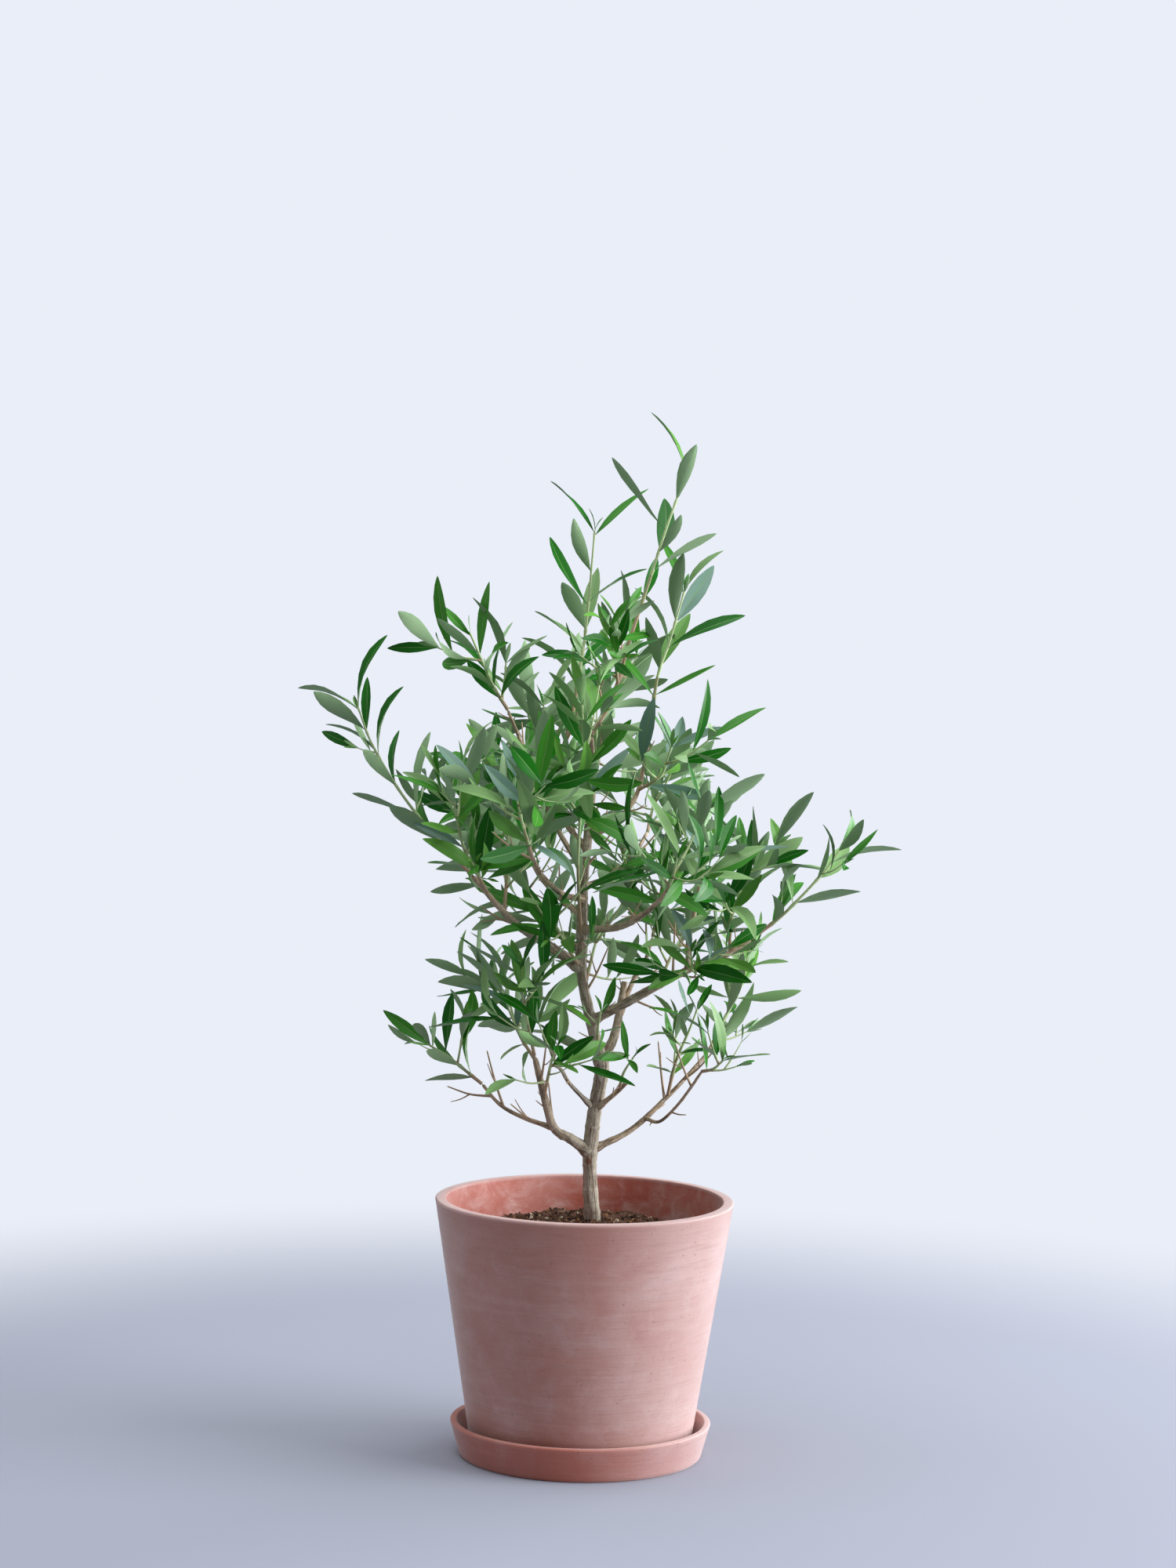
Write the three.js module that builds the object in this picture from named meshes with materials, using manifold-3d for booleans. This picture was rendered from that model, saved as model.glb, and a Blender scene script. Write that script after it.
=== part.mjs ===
// Potted olive tree: a young, open tree in a conical terracotta pot on its saucer.
// Millimetres, +Z up. The origin is the centre of the saucer's underside, -Y is the front.

import * as THREE from 'three';
import { mergeVertices } from 'three/addons/utils/BufferGeometryUtils.js';
import Module from 'manifold-3d';

const wasm = await Module();
wasm.setup();

// Clearance between touching pieces
const SEAT_GAP = 0.3;

// Saucer
const SAUCER_FOOT_RADIUS = 101.9;
const SAUCER_LIP_RADIUS = 109.3;
const SAUCER_HEIGHT = 29.3;
const SAUCER_WALL = 5.6;
const SAUCER_FLOOR = 5.7;
const SAUCER_FOOT_EDGE = 1.5;
const SAUCER_FLOOR_RISE = 3;
const SAUCER_FLOOR_INSET = 2;

// Pot: one straight flaring wall with a softly rounded rim
const POT_FOOT = SAUCER_FLOOR + SEAT_GAP;
const POT_HEIGHT = 210;
const POT_FOOT_RADIUS = 92.4;
const POT_RIM_RADIUS = 125;
const POT_WALL = 9;
const POT_FLOOR = 9;
const POT_EDGE = 2.6;
const POT_SIDES = 40;

// Compost: a low dome round the trunk, heaped in lumps
const SOIL_EDGE_HEIGHT = 181;
const SOIL_SEAT_HEIGHT = 198;
const SOIL_SEAT_RADIUS = 13;
const SOIL_LUMP = 2.2;
const SOIL_RINGS = 6;
const SOIL_SEAT_BLEND = 14;
const SOIL_WALL_BLEND = 14;
const SOIL_WALL_FLAT = 2;
const SOIL_COARSE_WAVE = { x: 0.093, y: 0.081, shiftX: 1.1, shiftY: -0.4 };
const SOIL_FINE_WAVE = { x: 0.21, y: -0.17, shift: 2.0, share: 0.6 };

// Limbs
const LIMB_SIDES = 7;
const LIMB_STEP = 24;
const LIMB_SAMPLES_PER_BEND = 12;

// Shoots and leaves
const STEM_RADIUS = 1.35;
const TWIG_RADIUS = 0.95;
const TWIG_SIDES = 3;
const TWIG_STEP = 26;
const GOLDEN_ANGLE = 2.39996;
const LEAF_LENGTH = 62;
const LEAF_SLENDERNESS = 4.7;
const LEAF_FLATNESS = 60;
const LEAF_WIDEST = 0.46;
const LEAF_ROOT_SINK = 0.9;
const LEAF_PAIR_STAGGER = 1.7;
const LEAF_OPEN_LOW = 1.12;
const LEAF_OPEN_TIP = 0.76;
const LEAF_OPEN_SPREAD = 0.5;
const LEAF_ROLL_SPREAD = 0.7;
const LEAF_TWIST_SPREAD = 1.5;
const LEAF_LENGTH_LEAST = 0.78;
const LEAF_LENGTH_SPREAD = 0.4;
const LEAF_SLENDER_LEAST = 0.85;
const LEAF_SLENDER_SPREAD = 0.35;
const LEAF_LIFT = 0.14;
const LEAF_MISSING = 0.1;
const TIP_SHARE = 0.97;
const TIP_LEAF_SIZE = 0.85;
const STEM_FIRST_LEAF = 0.22;
const TWIG_FIRST_LEAF = 0.3;
const TWIG_LOWEST = 0.12;
const TWIG_SPAN = 0.7;
const TWIG_ROLL_SPREAD = 0.6;
const TWIG_OPEN_LEAST = 0.75;
const TWIG_OPEN_SPREAD = 0.4;
const TWIG_LENGTH_LEAST = 0.75;
const TWIG_LENGTH_SPREAD = 0.5;
const TWIG_LIFT = 0.12;
const TWIG_SWELL = 1.15;
const TWIG_TAPER = 0.6;
const LEAF_LIMB_CLEARANCE = 0.9;
const LEAF_PROBE_PLACES = [-0.6, -0.3, 0, 0.35, 0.7, 1];
const SHOOT_LINE_STEPS = 8;
const SPACE_MARGIN = 0.8;

const COLOURS = {
  saucer: 0xb9705a,
  pot: 0xb78478,
  soil: 0x3d2c22,
  bark: 0x8f8474,
  leaf: 0x4d6b3a,
};

// Each limb: name, the limb that carries it, how far up that limb it starts, its thickness at even
// steps from foot to tip, and the points that it bends through on the way to its tip.
// The trunk stands on the compost, and a limb that starts at 1 carries its parent on.
const LIMBS = [
  ['trunk', null, 0, [14.8, 11.7, 12.4, 11.0, 11.3, 10.8],
    [7.2, 0, SOIL_SEAT_HEIGHT - 2], [4, 0, 235], [4, 0, 258], [7, 0, 291], [12, 0, 322], [10, 0, 338]],
  ['left_leader', 'trunk', 1, [10.2, 9.0, 8.8, 11.0],
    [2, -3, 366], [-6, -4, 403], [-7, 0, 433]],
  ['middle_leader', 'left_leader', 1, [10.4, 7.6, 6.4, 6.0],
    [-6, 4, 483], [-1, 4, 557], [-3, 0, 604]],
  ['right_leader', 'trunk', 0.93, [8.8, 7.6, 5.4],
    [22, 10, 352], [30, 18, 397]],
  ['right_leader_branch', 'right_leader', 0.7, [4.6, 4.0, 3.4, 2.4],
    [37, 24, 397], [46, 30, 411], [53, 38, 433]],
  ['lower_left_bough', 'trunk', 0.38, [9.6, 8.2, 7.0, 6.0, 5.2],
    [-13, -6, 267], [-27, -12, 277], [-35, -20, 303], [-44, -28, 339]],
  ['low_left_branch', 'lower_left_bough', 0.49, [4.0, 3.4, 3.0, 2.6],
    [-54, -2, 284], [-73, 6, 293], [-88, 11, 309]],
  ['lower_right_bough', 'trunk', 0.39, [6.0, 4.8, 4.0, 3.1, 2.5],
    [38, 12, 273], [68, 22, 300], [87, 28, 320], [102, 34, 337]],
  ['low_right_branch', 'lower_right_bough', 0.34, [3.0, 2.7, 2.5, 2.3, 2.1],
    [61, 0, 282], [74, -18, 297], [86, -38, 317], [94, -52, 332]],
  ['left_stub', 'trunk', 0.6, [4.2, 3.2, 2.8, 1.9],
    [-14, -14, 314], [-22, -20, 327], [-30, -26, 332]],
  ['right_stub', 'trunk', 0.6, [4.8, 3.9, 3.4],
    [24, -12, 307], [33, -18, 317]],
  ['mid_right_bough', 'left_leader', 0.33, [7.8, 7.2, 7.2, 6.4, 4.7, 3.2],
    [26, -14, 380], [48, -24, 394], [82, -34, 414], [112, -38, 427], [133, -40, 441]],
  ['right_riser', 'mid_right_bough', 0.6, [5.6, 4.4, 2.9],
    [82, -24, 440], [88, -14, 467]],
  ['mid_left_bough', 'left_leader', 0.74, [8.6, 7.6, 7.4, 5.4, 3.6],
    [-34, -8, 429], [-56, -14, 443], [-74, -16, 459], [-99, -16, 487]],
  ['front_right_bough', 'middle_leader', 0.06, [6.2, 5.6, 4.8, 3.4],
    [22, -36, 448], [42, -76, 462], [56, -104, 478]],
  ['back_left_bough', 'middle_leader', 0.14, [5.6, 4.6, 3.8, 2.8],
    [-24, 45, 462], [-42, 85, 476], [-54, 115, 492]],
  ['front_left_bough', 'middle_leader', 0.24, [5.4, 4.4, 3.6, 2.8],
    [-23, -42, 475], [-40, -84, 494], [-48, -110, 512]],
  ['back_right_bough', 'middle_leader', 0.3, [5.2, 4.4, 3.6, 2.8],
    [17, 46, 484], [36, 90, 498], [48, 120, 516]],
  ['upper_left_bough', 'middle_leader', 0.36, [4.8, 4.1, 3.4, 2.8, 2.3],
    [-26, -14, 522], [-43, -26, 555], [-59, -40, 597], [-71, -48, 626]],
  ['upper_left_leader', 'middle_leader', 0.46, [5.0, 4.4, 4.0, 3.6, 3.0],
    [-22, 14, 530], [-29, 20, 562], [-26, 24, 589], [-19, 26, 616]],
  ['upper_right_leader', 'middle_leader', 0.5, [5.0, 4.6, 4.2, 3.6, 2.9],
    [13, 6, 527], [29, 12, 542], [39, 18, 562], [47, 22, 608]],
  ['top_leader', 'middle_leader', 1, [4.8, 4.0, 3.4, 2.8],
    [11, 2, 628], [20, 2, 652], [26, 0, 678]],
];

// Each mass of foliage: name, the limb that carries its stem and how far up that limb it starts,
// the number and length of its side twigs, the distance between pairs of leaves, the leaf length
// as a share of LEAF_LENGTH, the seed of its growth, and the points of its stem up to the tip.
const MASSES = [
  ['top_shoot', 'top_leader', 1, 0, 0, 22, 1.04, 3,
    [44, -4, 736], [55, -8, 773], [72, -4, 824]],
  ['top_inner_spray', 'top_leader', 0.62, 3, 30, 13, 0.66, 12,
    [16, -25, 669], [11, -45, 695]],
  ['upper_right_shoot', 'upper_right_leader', 1, 0, 0, 21, 1.0, 5,
    [52, 26, 652], [62, 30, 684], [73, 34, 724]],
  ['upper_left_shoot', 'upper_left_leader', 1, 0, 0, 21, 1.04, 39,
    [-13, 30, 657], [-8, 34, 700], [-3, 30, 772]],
  ['left_upper_shoot', 'upper_left_bough', 1, 2, 34, 16, 0.9, 4,
    [-84, -60, 648], [-102, -70, 688]],
  ['upper_left_spray', 'upper_left_leader', 0.6, 3, 42, 17, 0.95, 6,
    [-44, 46, 600], [-62, 70, 628]],
  ['left_long_shoot', 'mid_left_bough', 1, 0, 0, 25, 1.08, 8,
    [-130, -14, 518], [-160, -10, 555], [-184, -4, 593], [-196, 0, 622]],
  ['left_shoot', 'mid_left_bough', 0.86, 2, 40, 17, 0.95, 2,
    [-104, -34, 508], [-111, -50, 536], [-115, -58, 560]],
  ['left_inner_spray', 'mid_left_bough', 0.72, 4, 42, 18, 0.95, 9,
    [-70, 0, 500], [-72, 18, 540], [-74, 26, 564]],
  ['front_shoot', 'left_leader', 0.98, 3, 42, 19, 0.95, 15,
    [-11, -28, 494], [-10, -40, 540], [-10, -44, 560]],
  ['front_low_spray', 'left_leader', 0.72, 4, 42, 18, 0.95, 34,
    [-24, -34, 440], [-34, -60, 464]],
  ['back_low_spray', 'left_leader', 0.56, 4, 46, 17, 0.9, 35,
    [4, 36, 424], [12, 64, 444]],
  ['mid_left_spray', 'left_leader', 0.93, 4, 46, 19, 0.95, 11,
    [-25, 16, 435], [-40, 38, 450], [-56, 66, 474], [-70, 92, 504], [-78, 104, 528]],
  ['back_left_spray', 'back_left_bough', 1, 4, 52, 19, 0.95, 13,
    [-68, 138, 524], [-78, 154, 554]],
  ['front_left_spray', 'front_left_bough', 1, 4, 50, 20, 0.95, 14,
    [-56, -128, 540], [-62, -142, 566]],
  ['front_right_spray', 'front_right_bough', 1, 4, 50, 20, 0.95, 10,
    [64, -124, 494], [68, -138, 514]],
  ['back_right_spray', 'back_right_bough', 1, 4, 50, 20, 0.95, 16,
    [52, 140, 534], [58, 156, 556]],
  ['right_inner_spray', 'upper_right_leader', 0.72, 3, 40, 18, 0.92, 17,
    [56, 0, 572], [64, -12, 596]],
  ['right_riser_shoot', 'right_riser', 1, 1, 36, 20, 0.9, 18,
    [92, -8, 504], [90, 0, 536]],
  ['right_end_shoot', 'mid_right_bough', 1, 0, 0, 22, 1.05, 42,
    [160, -46, 464], [190, -52, 498], [202, -54, 516]],
  ['right_upper_shoot', 'mid_right_bough', 0.83, 2, 36, 18, 0.95, 20,
    [115, -50, 456], [124, -60, 488], [128, -64, 504]],
  ['right_front_spray', 'mid_right_bough', 0.6, 2, 38, 17, 0.9, 21,
    [84, -58, 418], [82, -86, 434]],
  ['right_back_spray', 'mid_right_bough', 0.46, 3, 42, 17, 0.92, 38,
    [70, -4, 426], [84, 24, 446]],
  ['right_low_shoot', 'lower_right_bough', 1, 2, 38, 18, 0.98, 22,
    [114, 50, 360], [128, 62, 386], [134, 68, 404]],
  ['low_right_spray', 'low_right_branch', 1, 2, 30, 15, 0.85, 23,
    [103, -64, 336], [110, -74, 344]],
  ['low_right_twig', 'lower_right_bough', 0.5, 1, 30, 18, 0.62, 24,
    [74, 5, 332], [84, -5, 359], [90, -10, 377]],
  ['low_left_spray', 'lower_left_bough', 1, 2, 36, 16, 0.94, 25,
    [-52, -34, 376], [-58, -38, 408]],
  ['low_left_inner_spray', 'lower_left_bough', 0.76, 3, 34, 17, 0.85, 26,
    [-30, -54, 336], [-25, -78, 354]],
  ['low_left_outer_spray', 'lower_left_bough', 0.97, 3, 36, 17, 0.9, 27,
    [-58, 14, 352], [-66, 50, 370], [-72, 72, 390]],
  ['far_low_left_spray', 'low_left_branch', 1, 1, 26, 14, 0.8, 28,
    [-101, 12, 319], [-117, 10, 332], [-132, 8, 341]],
  ['trunk_shoot', 'left_leader', 0.06, 0, 0, 12, 0.62, 30,
    [8, -26, 362], [10, -42, 378]],
  ['stub_shoot', 'right_stub', 0.64, 0, 0, 12, 0.8, 31,
    [30, -28, 326], [38, -44, 342]],
  ['inner_twigs', 'right_leader_branch', 1, 4, 42, 17, 0.82, 32,
    [58, 52, 462], [62, 62, 486]],
  ['upper_front_spray', 'middle_leader', 0.55, 3, 42, 18, 0.9, 37,
    [-2, -36, 556], [-7, -78, 590], [-10, -98, 632]],
  ['upper_back_spray', 'middle_leader', 0.68, 4, 44, 19, 0.95, 33,
    [4, 40, 580], [9, 84, 612], [12, 104, 654]],
];

// Solids

function toSolid(geometry) {
  geometry.deleteAttribute('normal');
  geometry.deleteAttribute('uv');
  const merged = mergeVertices(geometry);
  const faces = [];
  for (let i = 0; i < merged.index.count; i += 3) {
    const face = [merged.index.getX(i), merged.index.getX(i + 1), merged.index.getX(i + 2)];
    if (new Set(face).size === 3) {
      faces.push(...face);
    }
  }
  return new wasm.Manifold(new wasm.Mesh({
    numProp: 3,
    vertProperties: merged.attributes.position.array,
    triVerts: Uint32Array.from(faces),
  }));
}

function toGeometry(solid) {
  const mesh = solid.getMesh();
  const geometry = new THREE.BufferGeometry();
  geometry.setAttribute('position', new THREE.BufferAttribute(mesh.vertProperties, 3));
  geometry.setIndex(new THREE.BufferAttribute(mesh.triVerts, 1));
  geometry.computeVertexNormals();
  return geometry;
}

function join(solids) {
  return solids.reduce((whole, solid) => whole.add(solid));
}

// The largest body of a solid, without loose scraps
function largestBody(solid) {
  return solid.decompose().sort((a, b) => b.volume() - a.volume())[0];
}

// Repeatable random numbers from 0 to 1
function randomFrom(seed) {
  let state = seed * 7919 + 17;
  return () => {
    state = (state * 48271) % 2147483647;
    return state / 2147483647;
  };
}

// Paths

function pathThrough(points) {
  return new THREE.CatmullRomCurve3(points, false, 'catmullrom', 0.5);
}

// Two directions across a path that turn as little as possible along it
function crossingsOf(path) {
  const chord = path.getPoint(1).sub(path.getPoint(0)).normalize();
  const away = Math.abs(chord.y) > 0.9 ? new THREE.Vector3(1, 0, 0) : new THREE.Vector3(0, 1, 0);
  const across = new THREE.Vector3().crossVectors(chord, away).normalize();
  return (along) => {
    const first = across.clone().addScaledVector(along, -across.dot(along)).normalize();
    return [first, new THREE.Vector3().crossVectors(along, first)];
  };
}

// Thickness at a share of the way along a limb, from values given at even steps
function thicknessAt(values, share) {
  const place = share * (values.length - 1);
  const step = Math.min(Math.floor(place), values.length - 2);
  return THREE.MathUtils.lerp(values[step], values[step + 1], place - step);
}

// A cylinder with a given number of sides, bent along a path and given a radius at each point
function bentCylinder(path, radiusAt, sides, stepLength) {
  const steps = Math.max(2, Math.round(path.getLength() / stepLength));
  const geometry = new THREE.CylinderGeometry(1, 1, 1, sides, steps);
  const crossings = crossingsOf(path);
  const corners = geometry.attributes.position;
  for (let i = 0; i < corners.count; i++) {
    const share = corners.getY(i) + 0.5;
    const along = path.getTangent(share);
    const [first, second] = crossings(along);
    const radius = radiusAt(share);
    const corner = path.getPoint(share)
      .addScaledVector(first, corners.getX(i) * radius)
      .addScaledVector(second, -corners.getZ(i) * radius);
    corners.setXYZ(i, corner.x, corner.y, corner.z);
  }
  return toSolid(geometry);
}

function distanceToPath(point, samples) {
  const closest = new THREE.Vector3();
  const stretch = new THREE.Line3();
  let least = Infinity;
  for (let i = 0; i + 1 < samples.length; i++) {
    stretch.set(samples[i], samples[i + 1]).closestPointToPoint(point, true, closest);
    least = Math.min(least, closest.distanceTo(point));
  }
  return least;
}

// Pot, saucer and compost

// Turns an outline of radius and height round the vertical axis
function turned(outline, sides) {
  return toSolid(new THREE.LatheGeometry(outline, sides).rotateX(Math.PI / 2));
}

function makeSaucer() {
  const outline = new THREE.Path();
  const wallTop = SAUCER_HEIGHT - SAUCER_WALL / 2;
  const lean = (SAUCER_LIP_RADIUS - SAUCER_FOOT_RADIUS) / wallTop;
  const wallCentre = SAUCER_LIP_RADIUS - SAUCER_WALL / 2;
  outline.moveTo(0, 0);
  outline.lineTo(SAUCER_FOOT_RADIUS - SAUCER_FOOT_EDGE, 0);
  outline.lineTo(SAUCER_FOOT_RADIUS, SAUCER_FOOT_EDGE);
  outline.lineTo(SAUCER_LIP_RADIUS, wallTop);
  outline.absarc(wallCentre, wallTop, SAUCER_WALL / 2, 0, Math.PI, false);
  const lowWall = SAUCER_FLOOR + SAUCER_FLOOR_RISE;
  outline.lineTo(SAUCER_LIP_RADIUS - SAUCER_WALL - lean * (wallTop - lowWall), lowWall);
  outline.lineTo(SAUCER_FOOT_RADIUS - SAUCER_WALL - SAUCER_FLOOR_INSET, SAUCER_FLOOR);
  outline.lineTo(0, SAUCER_FLOOR);
  return turned(outline.getPoints(3), POT_SIDES);
}

function potRadiusAt(height) {
  return THREE.MathUtils.lerp(POT_FOOT_RADIUS, POT_RIM_RADIUS, (height - POT_FOOT) / POT_HEIGHT);
}

function makePot() {
  const top = POT_FOOT + POT_HEIGHT;
  const floor = POT_FOOT + POT_FLOOR;
  const mouth = POT_RIM_RADIUS - POT_WALL;
  const footRound = POT_FOOT + POT_EDGE;
  const rimRound = top - POT_EDGE;
  const outline = new THREE.Path();
  outline.moveTo(0, POT_FOOT);
  outline.lineTo(POT_FOOT_RADIUS - POT_EDGE, POT_FOOT);
  outline.quadraticCurveTo(POT_FOOT_RADIUS, POT_FOOT, potRadiusAt(footRound), footRound);
  outline.lineTo(potRadiusAt(rimRound), rimRound);
  outline.quadraticCurveTo(POT_RIM_RADIUS, top, POT_RIM_RADIUS - POT_EDGE, top);
  outline.lineTo(mouth + POT_EDGE, top);
  outline.quadraticCurveTo(mouth, top, potRadiusAt(rimRound) - POT_WALL, rimRound);
  outline.lineTo(potRadiusAt(floor) - POT_WALL, floor);
  outline.lineTo(0, floor);
  return turned(outline.getPoints(2), POT_SIDES);
}

// Lumps of compost: two crossed waves, held flat under the trunk and at the pot's wall
function soilLump(x, y, radius, wall) {
  const wide = SOIL_COARSE_WAVE;
  const narrow = SOIL_FINE_WAVE;
  const coarse = Math.sin(wide.x * x + wide.shiftX) * Math.cos(wide.y * y + wide.shiftY);
  const fine = Math.sin(narrow.x * x + narrow.y * y + narrow.shift);
  const offSeat = THREE.MathUtils.smoothstep(radius, SOIL_SEAT_RADIUS, SOIL_SEAT_RADIUS + SOIL_SEAT_BLEND);
  const atWall = THREE.MathUtils.smoothstep(radius, wall - SOIL_WALL_BLEND, wall - SOIL_WALL_FLAT);
  return SOIL_LUMP * offSeat * (1 - atWall) * (coarse + narrow.share * fine);
}

function makeSoil() {
  const bottom = POT_FOOT + POT_FLOOR + SEAT_GAP;
  const wall = potRadiusAt(SOIL_EDGE_HEIGHT) - POT_WALL - SEAT_GAP;
  const outline = [new THREE.Vector2(0, bottom)];
  outline.push(new THREE.Vector2(potRadiusAt(bottom) - POT_WALL - SEAT_GAP, bottom));
  for (let ring = 0; ring <= SOIL_RINGS; ring++) {
    const share = ring / SOIL_RINGS;
    const radius = THREE.MathUtils.lerp(wall, SOIL_SEAT_RADIUS, share);
    const rise = (SOIL_SEAT_HEIGHT - SOIL_EDGE_HEIGHT) * Math.sin(share * Math.PI / 2);
    outline.push(new THREE.Vector2(radius, SOIL_EDGE_HEIGHT + rise));
  }
  outline.push(new THREE.Vector2(0, SOIL_SEAT_HEIGHT));
  const geometry = new THREE.LatheGeometry(outline, POT_SIDES / 2).rotateX(Math.PI / 2);
  const corners = geometry.attributes.position;
  for (let i = 0; i < corners.count; i++) {
    if (corners.getZ(i) > SOIL_EDGE_HEIGHT - 1) {
      const x = corners.getX(i);
      const y = corners.getY(i);
      corners.setZ(i, corners.getZ(i) + soilLump(x, y, Math.hypot(x, y), wall));
    }
  }
  return toSolid(geometry);
}

// Trunk and limbs

// Where a stem or limb leaves its carrier: just past the tip, or from inside its thickness
function footOn(carrier, share) {
  const foot = carrier.path.getPoint(share);
  if (share === 1) {
    foot.addScaledVector(carrier.path.getTangent(1), SEAT_GAP);
  }
  return foot;
}

function makeLimbs() {
  const limbs = new Map();
  for (const [name, carrierName, share, thickness, ...bends] of LIMBS) {
    const points = bends.map((bend) => new THREE.Vector3(...bend));
    if (carrierName) {
      points.unshift(footOn(limbs.get(carrierName), share));
    }
    const path = pathThrough(points);
    const radiusAt = (u) => thicknessAt(thickness, u) / 2;
    let solid = bentCylinder(path, radiusAt, LIMB_SIDES, LIMB_STEP);
    if (!carrierName) {
      solid = solid.trimByPlane([0, 0, 1], SOIL_SEAT_HEIGHT + SEAT_GAP);
    }
    for (const other of limbs.values()) {
      solid = solid.subtract(other.envelope);
    }
    limbs.set(name, {
      name,
      path,
      radiusAt,
      solid: largestBody(solid),
      envelope: bentCylinder(path, (u) => radiusAt(u) + SEAT_GAP, LIMB_SIDES, LIMB_STEP),
      samples: path.getPoints(points.length * LIMB_SAMPLES_PER_BEND),
    });
  }
  return limbs;
}

function isClearOfLimbs(point, limbs) {
  return [...limbs.values()].every(({ samples, radiusAt }) => samples.every((sample, i) => {
    const radius = radiusAt(i / (samples.length - 1));
    return sample.distanceTo(point) > radius + LEAF_LIMB_CLEARANCE;
  }));
}

// Foliage

// A point of a leaf. Lengthwise, -1 is its root, 0 its widest part and 1 its tip; across runs from
// -1 to 1 between its edges at the widest part, and rise from 0 to 1 up to its ridge there.
function leafPoint({ root, along, side, face, length, width }, lengthwise, across, rise) {
  const reach = lengthwise < 0
    ? THREE.MathUtils.lerp(LEAF_WIDEST * length, -LEAF_ROOT_SINK, -lengthwise)
    : THREE.MathUtils.lerp(LEAF_WIDEST, 1, lengthwise) * length;
  return root.clone()
    .addScaledVector(along, reach)
    .addScaledVector(side, across * width / 2)
    .addScaledVector(face, rise * length / LEAF_FLATNESS);
}

// One leaf: a tetrahedron pressed thin, its keel from root to tip and its upper edge across the
// widest part
function makeLeaf(leaf) {
  const geometry = new THREE.TetrahedronGeometry(Math.sqrt(3));
  const corners = geometry.attributes.position;
  for (let i = 0; i < corners.count; i++) {
    const lengthwise = (corners.getY(i) + corners.getX(i)) / 2;
    const across = (corners.getY(i) - corners.getX(i)) / 2;
    const rise = (1 - corners.getZ(i)) / 2;
    const corner = leafPoint(leaf, lengthwise, across, rise);
    corners.setXYZ(i, corner.x, corner.y, corner.z);
  }
  return toSolid(geometry);
}

// Points of a leaf that are tested against the limbs and the neighbouring masses
function leafProbes(leaf) {
  return LEAF_PROBE_PLACES.flatMap((lengthwise) => {
    const spread = 1 - Math.abs(lengthwise);
    return [-spread, 0, spread].map((across) => leafPoint(leaf, lengthwise, across, 0));
  });
}

// Pairs of leaves up a stem or twig, each pair a quarter turn from the last
function leavesAlong(path, first, spacing, size, random) {
  const length = path.getLength();
  const count = Math.max(2, Math.round(length * (1 - first) / spacing) + 1);
  const crossings = crossingsOf(path);
  const up = new THREE.Vector3(0, 0, 1);
  const leaves = [];
  const turn = random() * Math.PI;
  for (let pair = 0; pair < count; pair++) {
    for (let half = 0; half < 2; half++) {
      const share = first + (1 - first) * pair / (count - 1) - half * LEAF_PAIR_STAGGER / length;
      const stemward = path.getTangent(share);
      const [one, two] = crossings(stemward);
      const roll = turn + pair * Math.PI / 2 + half * Math.PI + (random() - 0.5) * LEAF_ROLL_SPREAD;
      const open = THREE.MathUtils.lerp(LEAF_OPEN_LOW, LEAF_OPEN_TIP, share)
        + (random() - 0.5) * LEAF_OPEN_SPREAD;
      const shrink = share > TIP_SHARE ? TIP_LEAF_SIZE : 1;
      const leafLength = LEAF_LENGTH * size * shrink * (LEAF_LENGTH_LEAST + LEAF_LENGTH_SPREAD * random());
      const slender = LEAF_SLENDERNESS * (LEAF_SLENDER_LEAST + LEAF_SLENDER_SPREAD * random());
      const twist = (random() - 0.5) * LEAF_TWIST_SPREAD;
      const isMissing = random() < LEAF_MISSING;
      const outward = one.clone().multiplyScalar(Math.cos(roll)).addScaledVector(two, Math.sin(roll));
      const along = stemward.clone().multiplyScalar(Math.cos(open))
        .addScaledVector(outward, Math.sin(open))
        .addScaledVector(up, LEAF_LIFT)
        .normalize();
      const plain = new THREE.Vector3().crossVectors(along, outward.cross(stemward)).normalize();
      const face = plain.applyAxisAngle(along, twist);
      const side = new THREE.Vector3().crossVectors(along, face).normalize();
      if (!isMissing) {
        leaves.push({
          root: path.getPoint(share), along, side, face, length: leafLength, width: leafLength / slender,
        });
      }
    }
  }
  return leaves;
}

function makeShoot(path, radius, first, spacing, size, random) {
  return { path, radius, first, leaves: leavesAlong(path, first, spacing, size, random) };
}

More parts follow.
